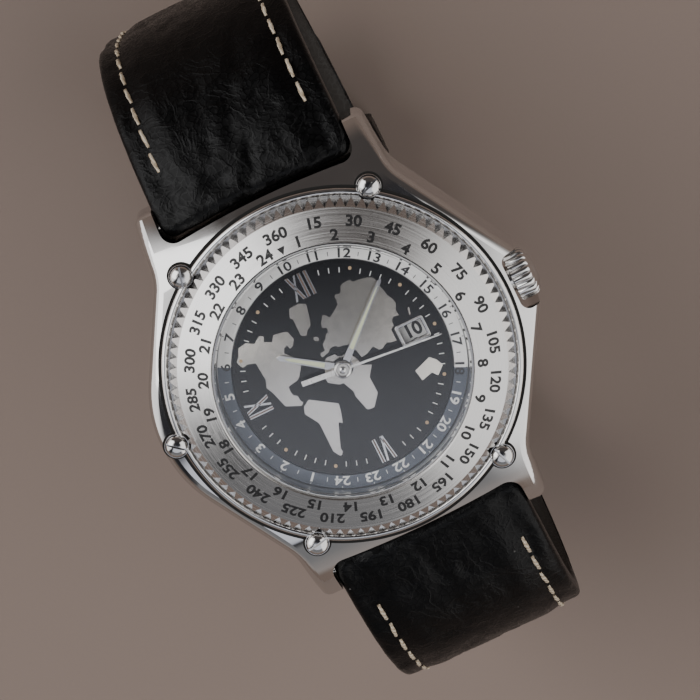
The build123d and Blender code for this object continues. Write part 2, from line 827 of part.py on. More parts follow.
third_low = 4.25
third_high = 4.45
seconds_low = 4.6
seconds_high = 4.75
centre_low = 4.9
centre_high = 5.1
escape_high = 4.55
motion_low = 6.9
motion_middle = 7.06
motion_high = 7.3
seconds_hand_low = 8.8
seconds_hand_top = 8.9
minute_hand_low = 8.52
minute_hand_top = 8.66
hour_hand_low = 8.24
hour_hand_top = 8.38
cannon_bore = 0.18
cannon_tube_radius = 0.4
hour_tube_bore = 0.45
hour_tube_radius = 0.62
balance_low = 3.4
balance_high = 3.7
balance_rim = 0.5


def wheel_teeth(pitch_radius, height, count):
    return tooth_points(pitch_radius - mesh_gap / 2, height, count, 0.4)


pieces["seconds_wheel"] = toothed_wheel([
    (arbor_radius, arbor_low, seconds_hand_top),
    (wheel_teeth(seconds_pinion_radius, pinion_tooth_height, 8), third_low, third_high),
    (wheel_teeth(seconds_pitch_radius, tooth_height, 40), seconds_low, seconds_high),
])
pieces["third_wheel"] = toothed_wheel([
    (arbor_radius, arbor_low, arbor_high),
    (wheel_teeth(third_pitch_radius, tooth_height, 45), third_low, third_high),
    (wheel_teeth(third_pinion_radius, pinion_tooth_height, 6), centre_low, centre_high),
], centre=third_centre)
pieces["cannon_pinion"] = toothed_wheel([
    (wheel_teeth(centre_pitch_radius, tooth_height, 48), centre_low, centre_high),
    (cannon_tube_radius, centre_low, minute_hand_top),
    (wheel_teeth(cannon_pitch_radius, pinion_tooth_height, 12), motion_low, motion_middle),
], bore=cannon_bore)
pieces["minute_wheel"] = toothed_wheel([
    (wheel_teeth(minute_pitch_radius, tooth_height, 36), motion_low, motion_middle),
    (wheel_teeth(minute_pinion_radius, pinion_tooth_height, 9), motion_middle, motion_high),
], bore=minute_post_radius + fit_gap, centre=minute_wheel_centre)
pieces["hour_wheel"] = toothed_wheel([
    (wheel_teeth(hour_pitch_radius, tooth_height, 36), motion_middle + running_gap, motion_high),
    (hour_tube_radius, motion_middle + running_gap, hour_hand_top),
], bore=hour_tube_bore)
pieces["barrel"] = toothed_wheel([
    (barrel_arbor_radius, arbor_low, arbor_high),
    (barrel_radius, barrel_low, barrel_high),
], centre=barrel_centre)
pieces["escape_wheel"] = toothed_wheel([
    (arbor_radius, arbor_low, arbor_high),
    (tooth_points(escape_radius, escape_tooth_height, 20, 0.1), third_low, escape_high),
    (wheel_teeth(escape_pinion_radius, arbor_radius / 3, 7), seconds_low, seconds_high),
], centre=escape_centre)

fork_angle = degrees(atan2(escape_to_balance[1], escape_to_balance[0]))
fork_length = 2.6
fork_half_width = 0.15
fork_arm_reach = 1.15
fork_arm_width = 0.25
fork_arm_lean = 0.35
with BuildPart() as pallet_fork:
    with BuildSketch(Plane(
        origin=(*pallet_centre, third_low),
        x_dir=(cos(radians(fork_angle)), sin(radians(fork_angle)), 0),
        z_dir=(0, 0, 1),
    )):
        Polygon(
            (-fork_arm_lean, -fork_arm_reach),
            (fork_half_width, -fork_half_width),
            (fork_length, -fork_half_width),
            (fork_length, fork_half_width),
            (fork_half_width, fork_half_width),
            (-fork_arm_lean, fork_arm_reach),
            (-fork_arm_lean - fork_arm_width, fork_arm_reach),
            (-fork_half_width - fork_arm_width, 0),
            (-fork_arm_lean - fork_arm_width, -fork_arm_reach),
            align=None,
        )
    extrude(amount=escape_high - third_low)
    with BuildSketch(Plane.XY.offset(arbor_low)):
        with Locations(pallet_centre):
            Circle(arbor_radius)
    extrude(amount=arbor_high - arbor_low)
pieces["pallet_fork"] = pallet_fork

with BuildPart() as balance_wheel:
    with BuildSketch(Plane.XY.offset(balance_low)):
        with Locations(balance_centre):
            Circle(balance_radius)
            Circle(balance_radius - balance_rim, mode=Mode.SUBTRACT)
            Rectangle(2 * balance_radius - balance_rim, balance_rim)
            Circle(balance_rim)
    extrude(amount=balance_high - balance_low)
    with BuildSketch(Plane.XY.offset(cock_low + arbor_end_gap)):
        with Locations(balance_centre):
            Circle(arbor_radius)
    extrude(amount=arbor_high - cock_low - arbor_end_gap)
pieces["balance_wheel"] = balance_wheel

# Movement: the winding rotor and its bearing
rotor_plate_low = 1.8
rotor_plate_high = 2.2
rotor_rim_low = 1.4
rotor_rim_high = 2.7
rotor_radius = 11.6
rotor_rim_inner = 9.5
rotor_hub_radius = 2.8
rotor_start_angle = 170
rotor_sweep = 180
bearing_radius = 1.6
bearing_flange_radius = 2.1
bearing_low = 1.5
pieces["rotor_bearing"] = turned([
    (0, bearing_low),
    (bearing_flange_radius, bearing_low),
    (bearing_flange_radius, rotor_plate_low - fit_gap),
    (bearing_radius, rotor_plate_low - fit_gap),
    (bearing_radius, rotor_plate_high + fit_gap),
    (bearing_flange_radius, rotor_plate_high + fit_gap),
    (bearing_flange_radius, bridge_low - seam_gap),
    (0, bridge_low - seam_gap),
])
with BuildPart() as rotor:
    for outer, inner, low, high in (
        (rotor_radius, bearing_radius + fit_gap, rotor_plate_low, rotor_plate_high),
        (rotor_radius, rotor_rim_inner, rotor_rim_low, rotor_rim_high),
    ):
        with BuildSketch(Plane.XY.offset(low)):
            with BuildLine():
                CenterArc((0, 0), outer, rotor_start_angle, rotor_sweep)
                CenterArc((0, 0), inner, rotor_start_angle, rotor_sweep)
                for end in (rotor_start_angle, rotor_start_angle + rotor_sweep):
                    Line(ring_point(outer, end), ring_point(inner, end))
            make_face()
        extrude(amount=high - low)
    with BuildSketch(Plane.XY.offset(rotor_plate_low)):
        Circle(rotor_hub_radius)
        Circle(bearing_radius + fit_gap, mode=Mode.SUBTRACT)
    extrude(amount=rotor_plate_high - rotor_plate_low)
pieces["rotor"] = rotor

# Hands: each is drawn pointing along its own plane's X and set to eight past ten
hour_hand_angle = 144.6
minute_hand_angle = 42
seconds_hand_angle = -5.8
hour_hand_length = 6.4
minute_hand_length = 9.5
seconds_hand_length = 9.95
hour_hub_radius = 0.85
minute_hub_radius = 0.8
seconds_hub_radius = 0.55
hour_root_width = 0.75
hour_tip_width = 0.5
minute_root_width = 0.7
minute_tip_width = 0.35
seconds_root_width = 0.22
seconds_tip_width = 0.14
seconds_tail_length = 4.1
seconds_tail_width = 0.5
tip_length = 0.4
hub_cap_top = 9.1
hub_cap_radius = 0.35
lume_edge = 0.13
hour_lume_start = 1.7
minute_lume_start = 2.1


def hand_plane(angle, height):
    return Plane(
        origin=(0, 0, height),
        x_dir=(cos(radians(angle)), sin(radians(angle)), 0),
        z_dir=(0, 0, 1),
    )


def tapered(start, end, root_width, tip_width, point):
    """Outline of a hand's blade with a pointed end, symmetric about its X axis."""
    return [
        (start, -root_width / 2), (end - point, -tip_width / 2), (end, 0),
        (end - point, tip_width / 2), (start, root_width / 2),
    ]


def blade_with_lume(angle, low, high, length, hub, bore, root_width, tip_width, lume_start):
    """A hand with a slot in its blade, and the insert that fills the slot."""
    lume_end = length - 2 * tip_length
    root_lume = root_width - 2 * lume_edge
    tip_lume = tip_width - 2 * lume_edge + seam_gap
    slot = tapered(lume_start, lume_end, root_lume, tip_lume, tip_length)
    insert = tapered(
        lume_start + seam_gap, lume_end - seam_gap,
        root_lume - 2 * seam_gap, tip_lume - 2 * seam_gap, tip_length,
    )
    with BuildPart() as hand:
        with BuildSketch(hand_plane(angle, low)):
            Circle(hub)
            Polygon(*tapered(0, length, root_width, tip_width, tip_length), align=None)
            Circle(bore, mode=Mode.SUBTRACT)
            Polygon(*slot, align=None, mode=Mode.SUBTRACT)
        extrude(amount=high - low)
    with BuildPart() as lume:
        with BuildSketch(hand_plane(angle, low + seam_gap)):
            Polygon(*insert, align=None)
        extrude(amount=high - low - seam_gap)
    return hand, lume


pieces["hour_hand"], pieces["hour_hand_lume"] = blade_with_lume(
    hour_hand_angle, hour_hand_low, hour_hand_top, hour_hand_length, hour_hub_radius,
    hour_tube_radius + seam_gap, hour_root_width, hour_tip_width, hour_lume_start,
)
pieces["minute_hand"], pieces["minute_hand_lume"] = blade_with_lume(
    minute_hand_angle, minute_hand_low, minute_hand_top, minute_hand_length, minute_hub_radius,
    cannon_tube_radius + seam_gap, minute_root_width, minute_tip_width, minute_lume_start,
)
with BuildPart() as seconds_hand:
    with BuildSketch(hand_plane(seconds_hand_angle, seconds_hand_low)):
        Circle(seconds_hub_radius)
        Polygon(
            *tapered(0, seconds_hand_length, seconds_root_width, seconds_tip_width, tip_length),
            align=None,
        )
        with Locations((-seconds_tail_length, 0)):
            Rectangle(
                seconds_tail_length, seconds_tail_width, align=(Align.MIN, Align.CENTER)
            )
        Circle(arbor_radius + seam_gap, mode=Mode.SUBTRACT)
    extrude(amount=seconds_hand_top - seconds_hand_low)
    with BuildSketch(hand_plane(seconds_hand_angle, seconds_hand_top)):
        Circle(hub_cap_radius)
    extrude(amount=hub_cap_top - seconds_hand_top)
pieces["seconds_hand"] = seconds_hand

# Strap: two pieces drawn from the side as a closed loop, each seen along its own +U,
# which is +Y for the piece at 12 o'clock and -Y for the piece at 6 o'clock
strap_clearance = 0.15
strap_corner_rounding = 1.1
bar_bore_radius = spring_bar_radius + fit_gap
bar_half_length = 9.6
buckle_bar_reach = -3.0
prong_slot_half_width = 1.1
prong_slot_length = 3.4
layer_gap = 0.2
step_gap = 0.7
step_share = 0.7
tail_curve_sweep = 38
tail_tip_length = 7.0
tail_hole_radius = 1.0
first_hole_reach = 14.0
hole_pitch = 6.5
prong_hole_share = 0.2873
prong_hole_length_share = 0.7561
strap_taper_start = 3.0
strap_end_cut = 8.0
lining_foot_reach = 0.5

twelve_side = Plane(origin=(0, 0, 0), x_dir=(0, 1, 0), z_dir=(1, 0, 0))
six_side = Plane(origin=(0, 0, 0), x_dir=(0, -1, 0), z_dir=(-1, 0, 0))
down_u = cos(radians(strap_start_angle))
down_z = -sin(radians(strap_start_angle))
out_u = sin(radians(strap_start_angle))
out_z = cos(radians(strap_start_angle))
half_end = strap_lug_thickness / 2
arc_sweep = 90 - strap_start_angle
wall_cut_reach = wall_side_reach + strap_clearance


def on_line(normal_offset, u):
    """The point at u on the line beside the spring bar, offset outward from the bar."""
    along = (u - spring_bar_reach - normal_offset * out_u) / down_u
    return (u, spring_bar_height + normal_offset * out_z + along * down_z)


def shoulder_centre(run):
    """Middle of the strap's upper inner arc, which starts after a straight run."""
    inward = half_end + shoulder_arc_radius
    return (
        spring_bar_reach + run * down_u - inward * out_u,
        spring_bar_height + run * down_z - inward * out_z,
    )


def lower_centre(run, side_run):
    """Middle of the strap's lower arc, below a straight run down its side."""
    centre_u, centre_z = shoulder_centre(run)
    return centre_u + shoulder_arc_radius - lower_arc_radius, centre_z - side_run


def inner_path(run, side_run, offset):
    """Lines of the strap's inner side, offset outward, from the lug down to the bottom."""
    centre_u, centre_z = shoulder_centre(run)
    low_u, low_z = lower_centre(run, side_run)
    radius = shoulder_arc_radius + offset
    low_radius = lower_arc_radius + offset
    CenterArc((centre_u, centre_z), radius, arc_sweep, -arc_sweep)
    Line((centre_u + radius, centre_z), (centre_u + radius, low_z))
    CenterArc((low_u, low_z), low_radius, 0, -90)
    start = (centre_u + radius * out_u, centre_z + radius * out_z)
    return start, (low_u, low_z - low_radius)


def outer_path(run, side_run, thickness):
    """Lines of the strap's outer side, thick at the lug, from the lug to the bottom."""
    centre_u, centre_z = shoulder_centre(run)
    low_u, low_z = lower_centre(run, side_run)
    radius = shoulder_arc_radius + thickness
    outer_z = centre_z + (strap_lug_thickness - thickness) / out_z
    CenterArc((centre_u, outer_z), radius, arc_sweep, -arc_sweep)
    Line((centre_u + radius, outer_z), (centre_u + radius, low_z))
    CenterArc((low_u, low_z), lower_arc_radius + thickness, 0, -90)
    start = (centre_u + radius * out_u, outer_z + radius * out_z)
    return start, (low_u, low_z - lower_arc_radius - thickness)


def lining_band(run, side_run, low, high, start_u, end_u):
    """Outline of a band along the strap's inner side, between two offsets from it."""
    ends = []
    for offset in (low, high):
        start, end = inner_path(run, side_run, offset)
        top = on_line(offset - half_end, start_u)
        foot = (end_u, end[1])
        Line(top, start)
        Line(end, foot)
        ends.append((top, foot))
    Line(ends[0][0], ends[1][0])
    Line(ends[0][1], ends[1][1])


short_low_u, short_low_z = lower_centre(short_strap_run, short_side_run)
long_low_u, long_low_z = lower_centre(long_strap_run, long_side_run)
loop_bottom = short_low_z - lower_arc_radius
long_bottom = long_low_z - lower_arc_radius
buckle_bar_height = loop_bottom - strap_thickness / 2
tail_top = loop_bottom - strap_thickness - layer_gap
tail_bottom = tail_top - tail_thickness
tail_inner_radius = short_low_z - tail_top
tail_outer_radius = tail_inner_radius + tail_thickness
tail_tip_reach = short_low_u + tail_outer_radius * sin(radians(tail_curve_sweep))
tip_direction = -90 - tail_curve_sweep
step_end_reach = strap_thickness / 2 + step_gap - buckle_bar_reach
step_start_reach = step_end_reach + step_share * (long_low_u - step_end_reach)
step_length = step_start_reach - step_end_reach
prong_hole_reach = step_end_reach + prong_hole_share * step_length
prong_hole_length = prong_hole_length_share * step_length
below_loop = tail_bottom - strap_lug_thickness
hole_height = loop_bottom + cut_overrun - below_loop


def taper_prism():
    """Both strap pieces narrow evenly from the lugs to the buckle, seen from 6 o'clock."""
    wide = strap_end_width / 2
    narrow = strap_buckle_width / 2
    slope = (wide - narrow) / (strap_taper_start - buckle_bar_height)
    top_half = wide + slope * (strap_end_cut - strap_taper_start)
    bottom_half = narrow + slope * (below_loop - buckle_bar_height)
    with BuildPart(mode=Mode.PRIVATE) as prism:
        with BuildSketch(Plane.XZ):
            Polygon(
                (-top_half, strap_end_cut), (-bottom_half, below_loop),
                (bottom_half, below_loop), (top_half, strap_end_cut), align=None,
            )
        extrude(amount=2 * case_screw_radius + strap_end_cut, both=True)
    return prism.part


def wall_keep_out(side):
    """The space in front of the curved case wall, which the strap's end stays clear of."""
    with BuildPart(mode=Mode.PRIVATE) as space:
        with BuildSketch(Plane.XY.offset(-cut_overrun)):
            with Locations((0, side * lug_reach / 2)):
                Rectangle(2 * lug_root_half_width, lug_reach)
            add(strap_gap(side, strap_clearance), mode=Mode.SUBTRACT)
        extrude(amount=strap_end_cut + cut_overrun)
    return space.part


half_cut = (strap_end_width + cut_overrun) / 2
band_cut = lining_thickness + seam_gap
with BuildPart() as strap_12:
    with BuildSketch(twelve_side) as short_side:
        with BuildLine():
            outer_start, outer_end = outer_path(short_strap_run, short_side_run, strap_thickness)
            inner_start, inner_end = inner_path(short_strap_run, short_side_run, 0)
            top_corner = on_line(half_end, wall_cut_reach)
            bottom_corner = on_line(-half_end, wall_cut_reach)
            Polyline(outer_start, top_corner, bottom_corner, inner_start)
            bar_bottom = (buckle_bar_reach, outer_end[1])
            bar_top = (buckle_bar_reach, inner_end[1])
            Line(outer_end, bar_bottom)
            ThreePointArc(
                bar_bottom, (buckle_bar_reach - strap_thickness / 2, buckle_bar_height), bar_top
            )
            Line(bar_top, inner_end)
        make_face()
        end_corners = [v for v in short_side.vertices() if abs(v.X - wall_cut_reach) < seam_gap]
        fillet(end_corners, strap_corner_rounding)
        with Locations((spring_bar_reach, spring_bar_height)):
            Circle(bar_bore_radius, mode=Mode.SUBTRACT)
        with Locations((buckle_bar_reach, buckle_bar_height)):
            Circle(bar_bore_radius, mode=Mode.SUBTRACT)
    extrude(amount=half_cut, both=True)
    with BuildSketch(twelve_side):
        with BuildLine():
            lining_band(
                short_strap_run, short_side_run, -cut_overrun, band_cut,
                spring_bar_reach - seam_gap, lining_foot_reach - seam_gap,
            )
        make_face()
    extrude(amount=half_cut, both=True, mode=Mode.SUBTRACT)
    with BuildSketch(Plane.XY.offset(below_loop)):
        with Locations((0, buckle_bar_reach - strap_thickness)):
            Rectangle(
                2 * prong_slot_half_width, strap_thickness + prong_slot_length,
                align=(Align.CENTER, Align.MIN),
            )
    extrude(amount=hole_height, mode=Mode.SUBTRACT)
    add(wall_keep_out(1), mode=Mode.SUBTRACT)
    add(taper_prism(), mode=Mode.INTERSECT)
pieces["strap_12"] = strap_12

with BuildPart() as strap_12_lining:
    with BuildSketch(twelve_side):
        with BuildLine():
            lining_band(
                short_strap_run, short_side_run, 0, lining_thickness,
                spring_bar_reach, lining_foot_reach,
            )
        make_face()
    extrude(amount=half_cut, both=True)
    add(taper_prism(), mode=Mode.INTERSECT)
pieces["strap_12_lining"] = strap_12_lining

with BuildPart() as strap_6:
    with BuildSketch(six_side) as long_side:
        with BuildLine():
            outer_start, outer_end = outer_path(long_strap_run, long_side_run, tail_thickness)
            inner_start, inner_end = inner_path(long_strap_run, long_side_run, 0)
            top_corner = on_line(half_end, wall_cut_reach)
            bottom_corner = on_line(-half_end, wall_cut_reach)
            Polyline(outer_start, top_corner, bottom_corner, inner_start)
            for start, top, radius in (
                (inner_end, tail_top, tail_inner_radius),
                (outer_end, tail_bottom, tail_outer_radius),
            ):
                Polyline(
                    start, (step_start_reach, start[1]), (step_end_reach, top), (-short_low_u, top)
                )
                CenterArc((-short_low_u, short_low_z), radius, -90, -tail_curve_sweep)
            tip_corners = []
            for radius in (tail_inner_radius, tail_outer_radius):
                tip_u, tip_z = ring_point(radius, tip_direction)
                tip_corners.append((tip_u - short_low_u, tip_z + short_low_z))
            Line(*tip_corners)
        make_face()
        end_corners = [v for v in long_side.vertices() if abs(v.X - wall_cut_reach) < seam_gap]
        fillet(end_corners, strap_corner_rounding)
        with Locations((spring_bar_reach, spring_bar_height)):
            Circle(bar_bore_radius, mode=Mode.SUBTRACT)
    extrude(amount=half_cut, both=True)
    with BuildSketch(six_side):
        with BuildLine():
            lining_band(
                long_strap_run, long_side_run, -cut_overrun, band_cut,
                spring_bar_reach - seam_gap, step_start_reach - seam_gap,
            )
        make_face()
    extrude(amount=half_cut, both=True, mode=Mode.SUBTRACT)
    # The prong takes the place of the second hole.
    with BuildSketch(Plane.XY.offset(below_loop)):
        with Locations(*[(0, step * hole_pitch - first_hole_reach) for step in (0, 2, 3, 4)]):
            Circle(tail_hole_radius)
        with Locations((0, -prong_hole_reach)):
            SlotOverall(prong_hole_length, 2 * tail_hole_radius, rotation=90)
    extrude(amount=hole_height, mode=Mode.SUBTRACT)
    # The tail's tip is rounded, seen from below.
    with BuildSketch(Plane.XY.offset(below_loop)):
        with BuildLine():
            tip_start = tail_tip_reach - tail_tip_length
            Line((-half_cut, tip_start), (-half_cut, tail_tip_reach + cut_overrun))
            Line((-half_cut, tail_tip_reach + cut_overrun), (half_cut, tail_tip_reach + cut_overrun))
            Line((half_cut, tail_tip_reach + cut_overrun), (half_cut, tip_start))
            ThreePointArc((half_cut, tip_start), (0, tail_tip_reach), (-half_cut, tip_start))
        make_face()
    extrude(amount=hole_height + strap_end_cut, mode=Mode.SUBTRACT)
    add(wall_keep_out(-1), mode=Mode.SUBTRACT)
    add(taper_prism(), mode=Mode.INTERSECT)
pieces["strap_6"] = strap_6

with BuildPart() as strap_6_lining:
    with BuildSketch(six_side):
        with BuildLine():
            lining_band(
                long_strap_run, long_side_run, 0, lining_thickness,
                spring_bar_reach, step_start_reach,
            )
        make_face()
    extrude(amount=half_cut, both=True)
    add(taper_prism(), mode=Mode.INTERSECT)
pieces["strap_6_lining"] = strap_6_lining

# Spring bars, each a thick body with a thin tip at both ends
for name, side in (("spring_bar_12", 1), ("spring_bar_6", -1)):
    with BuildPart() as spring_bar:
        with BuildSketch(Plane.YZ):
            with Locations((side * spring_bar_reach, spring_bar_height)):
                Circle(spring_bar_radius)
        extrude(amount=bar_half_length, both=True)
        with BuildSketch(Plane.YZ):
            with Locations((side * spring_bar_reach, spring_bar_height)):
                Circle(bar_tip_radius)
        extrude(amount=lug_half_gap + bar_tip_length, both=True)
    pieces[name] = spring_bar

# Keepers: a fixed and a free leather loop round both layers of the strap
keeper_wall = 0.95
keeper_gap = 0.15
fixed_keeper_start = 0.5
free_keeper_start = 7.9
keeper_width = 4.5
keeper_rounding = 0.9
inner_top = loop_bottom + keeper_gap
inner_bottom = tail_bottom - keeper_gap
keeper_low = inner_bottom - keeper_wall
keeper_high = inner_top + keeper_wall
keeper_half = strap_buckle_width / 2 + 2 * keeper_gap
for name, start in (("fixed_keeper", fixed_keeper_start), ("free_keeper", free_keeper_start)):
    with BuildPart() as keeper:
        with BuildSketch(Plane.XZ.offset(-start)) as loop:
            with Locations((0, (keeper_low + keeper_high) / 2)):
                Rectangle(2 * (keeper_half + keeper_wall), keeper_high - keeper_low)
            fillet(loop.vertices(), keeper_rounding)
            with Locations((0, (inner_bottom + inner_top) / 2)):
                Rectangle(2 * keeper_half, inner_top - inner_bottom, mode=Mode.SUBTRACT)
        extrude(amount=-keeper_width)
    pieces[name] = keeper

# Buckle: the bar in the strap's end, the frame that turns on it and the prong
frame_inner_half = 9.25
frame_outer_half = 10.75
frame_lobe_radius = 1.4
crossbar_gap = 0.4
crossbar_width = 2.2
notch_half_width = 0.9
notch_depth = 1.05
prong_half_width = 0.65
prong_thickness = 0.6
prong_ring_radius = 1.2
prong_bend_gap = 0.3

crossbar_near = -step_start_reach - crossbar_gap
crossbar_far = crossbar_near - crossbar_width
crossbar_top = long_bottom - tail_thickness - keeper_gap
notch_top = keeper_low + notch_depth
prong_bend = crossbar_near + prong_bend_gap

with BuildPart() as buckle_bar:
    with BuildSketch(Plane.YZ):
        with Locations((buckle_bar_reach, buckle_bar_height)):
            Circle(spring_bar_radius)
    extrude(amount=frame_outer_half, both=True)
pieces["buckle_bar"] = buckle_bar

with BuildPart() as buckle_frame:
    with BuildSketch(Plane.YZ) as arm_side:
        with Locations((buckle_bar_reach, buckle_bar_height)):
            Circle(frame_lobe_radius)
        Polygon(
            (buckle_bar_reach, buckle_bar_height + frame_lobe_radius),
            (buckle_bar_reach - frame_lobe_radius / 2, buckle_bar_height + frame_lobe_radius),
            (crossbar_near, crossbar_top),
            (crossbar_far, crossbar_top),
            (crossbar_far, keeper_low),
            (crossbar_near, keeper_low),
            (buckle_bar_reach, buckle_bar_height - frame_lobe_radius),
            align=None,
        )
    extrude(amount=frame_outer_half, both=True)
    with BuildSketch(Plane.YZ):
        with Locations((crossbar_near, below_loop)):
            Rectangle(-crossbar_near, -below_loop, align=(Align.MIN, Align.MIN))
    extrude(amount=frame_inner_half, both=True, mode=Mode.SUBTRACT)
    with BuildSketch(Plane.YZ):
        with Locations((crossbar_far, below_loop)):
            Rectangle(crossbar_width, notch_top - below_loop, align=(Align.MIN, Align.MIN))
    extrude(amount=notch_half_width, both=True, mode=Mode.SUBTRACT)
    with BuildSketch(Plane.YZ):
        with Locations((buckle_bar_reach, buckle_bar_height)):
            Circle(bar_bore_radius)
    extrude(amount=frame_outer_half, both=True, mode=Mode.SUBTRACT)
pieces["buckle_frame"] = buckle_frame

prong_top = keeper_low + prong_thickness
half_prong = prong_thickness / 2
with BuildPart() as buckle_prong:
    with BuildSketch(Plane.YZ) as prong_side:
        with Locations((buckle_bar_reach, buckle_bar_height)):
            Circle(prong_ring_radius)
        Polygon(
            (buckle_bar_reach, buckle_bar_height + half_prong),
            (prong_bend, prong_top + seam_gap),
            (crossbar_far, prong_top),
            (crossbar_far, keeper_low),
            (prong_bend, keeper_low),
            (buckle_bar_reach, buckle_bar_height - half_prong),
            align=None,
        )
        with Locations((buckle_bar_reach, buckle_bar_height)):
            Circle(bar_bore_radius, mode=Mode.SUBTRACT)
    extrude(amount=prong_half_width, both=True)
pieces["buckle_prong"] = buckle_prong

for name, piece in pieces.items():
    piece.part.label = name
    export_step(piece.part, f"parts/{name}.step")
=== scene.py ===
import math
import random

import bmesh
import bpy
from mathutils import Euler, Matrix, Vector, noise


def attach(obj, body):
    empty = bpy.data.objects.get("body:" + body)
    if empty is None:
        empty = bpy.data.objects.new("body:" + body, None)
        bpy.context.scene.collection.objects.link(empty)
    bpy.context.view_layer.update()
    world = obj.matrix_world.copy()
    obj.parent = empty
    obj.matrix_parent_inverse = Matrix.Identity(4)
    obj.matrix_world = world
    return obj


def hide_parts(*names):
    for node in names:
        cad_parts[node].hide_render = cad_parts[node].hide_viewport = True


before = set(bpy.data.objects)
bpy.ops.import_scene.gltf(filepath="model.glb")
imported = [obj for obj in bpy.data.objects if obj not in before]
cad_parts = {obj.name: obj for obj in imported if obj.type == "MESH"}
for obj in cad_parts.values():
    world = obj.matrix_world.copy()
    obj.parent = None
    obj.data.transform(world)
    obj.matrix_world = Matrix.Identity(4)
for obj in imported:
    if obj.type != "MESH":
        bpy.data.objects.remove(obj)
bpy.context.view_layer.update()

mm = 0.001
random.seed(7)


def onCircle(radius, angle, height=0.0):
    turn = math.radians(angle)
    return Vector((radius * math.cos(turn), radius * math.sin(turn), height))


def smooth(share):
    share = min(1.0, max(0.0, share))
    return share * share * (3 - 2 * share)


# camera, where the photograph was taken from
camera = {
    "place": (0.0323073, 0.0784581, 0.3597709),
    "turn": (-13.28478, -0.99424, -26.03664),
    "lens": 197.18,
    "nearest": 0.01,
    "farthest": 20,
}
print("camera")
cameraData = bpy.data.cameras.new("camera")
cameraData.lens = camera["lens"]
cameraData.sensor_width = 36
cameraData.clip_start = camera["nearest"]
cameraData.clip_end = camera["farthest"]
cameraObject = bpy.data.objects.new("camera", cameraData)
cameraObject.location = camera["place"]
cameraObject.rotation_euler = Euler([math.radians(angle) for angle in camera["turn"]])
bpy.context.collection.objects.link(cameraObject)
bpy.context.scene.camera = cameraObject


# node helpers
def newMaterial(name):
    material = bpy.data.materials.new(name)
    material.use_nodes = True
    return material, material.node_tree, material.node_tree.nodes["Principled BSDF"]


def addNode(tree, kind, **settings):
    node = tree.nodes.new(kind)
    for label, value in settings.items():
        setattr(node, label, value)
    return node


def feed(tree, value, socket):
    # a socket takes another node's output or a fixed value
    if isinstance(value, bpy.types.NodeSocket):
        tree.links.new(value, socket)
    else:
        socket.default_value = (*value, 1) if socket.type == "RGBA" else value


def fill(tree, node, values):
    for label, value in values.items():
        feed(tree, value, node.inputs[label])


def newGroup(name, inputs, outputs):
    tree = bpy.data.node_groups.new(name, "ShaderNodeTree")
    for label, value in inputs.items():
        socket = tree.interface.new_socket(name=label, in_out="INPUT", socket_type="NodeSocketFloat")
        socket.default_value = value
    for label, kind in outputs.items():
        tree.interface.new_socket(name=label, in_out="OUTPUT", socket_type="NodeSocket" + kind)
    return tree, tree.nodes.new("NodeGroupInput").outputs, tree.nodes.new("NodeGroupOutput")


def placeGroup(tree, group, **values):
    node = addNode(tree, "ShaderNodeGroup", node_tree=group)
    fill(tree, node, values)
    return node.outputs


def ownPlace(tree):
    return addNode(tree, "ShaderNodeTexCoord").outputs["Object"]


def mathNode(tree, operation, *values):
    node = addNode(tree, "ShaderNodeMath", operation=operation)
    for socket, value in zip(node.inputs, values):
        feed(tree, value, socket)
    return node.outputs[0]


def vectorNode(tree, operation, first, second=None):
    node = addNode(tree, "ShaderNodeVectorMath", operation=operation)
    feed(tree, first, node.inputs[0])
    if second is not None:
        feed(tree, second, node.inputs["Scale" if operation == "SCALE" else 1])
    return node.outputs["Value" if operation in ("DOT_PRODUCT", "LENGTH") else "Vector"]


def splitNode(tree, vector):
    node = addNode(tree, "ShaderNodeSeparateXYZ")
    feed(tree, vector, node.inputs[0])
    return node.outputs


def joinNode(tree, *parts):
    node = addNode(tree, "ShaderNodeCombineXYZ")
    for socket, part in zip(node.inputs, parts):
        feed(tree, part, socket)
    return node.outputs[0]


def noiseNode(tree, place, scale, detail=2.0, **more):
    node = addNode(tree, "ShaderNodeTexNoise")
    fill(tree, node, {"Vector": place, "Scale": scale, "Detail": detail, **more})
    return node.outputs


def cellNode(tree, place, scale, **settings):
    node = addNode(tree, "ShaderNodeTexVoronoi", **settings)
    fill(tree, node, {"Vector": place, "Scale": scale})
    return node.outputs["Distance"]


def rangeNode(tree, source, low, high, newLow=0, newHigh=1):
    node = addNode(tree, "ShaderNodeMapRange")
    fill(tree, node, {"Value": source, "From Min": low, "From Max": high,
                      "To Min": newLow, "To Max": newHigh})
    return node.outputs["Result"]


def mixColour(tree, share, first, second):
    node = addNode(tree, "ShaderNodeMix", data_type="RGBA")
    for number, value in ((0, share), (6, first), (7, second)):
        feed(tree, value, node.inputs[number])
    return node.outputs[2]


def bumpNode(tree, height, strength, distance, base=None):
    node = addNode(tree, "ShaderNodeBump")
    fill(tree, node, {"Height": height, "Strength": strength, "Distance": distance})
    if base is not None:
        feed(tree, base, node.inputs["Normal"])
    return node.outputs["Normal"]


def shaded(colour, share):
    return tuple(min(1.0, share * part) for part in colour)


print("shared effects")
hairlines = {
    "turns": (0.5, 2.0),
    "thinness": 0.06,
    "faint": 0.5,
    "strong": 0.72,
}
brushing = {
    "detail": 4,
    "roughness": 0.65,
}
leatherGrain = {
    "driftScale": 420,
    "drift": 0.0011,
    "ridgeReach": 0.2,
    "ridgeHeight": 0.34,
    "creaseStart": 0.02,
    "creaseEnd": 0.14,
    "poreScale": 5200,
    "poreDepth": 0.12,
    "foldScale": 330,
    "foldTwist": 1.4,
    "foldReach": 0.05,
}


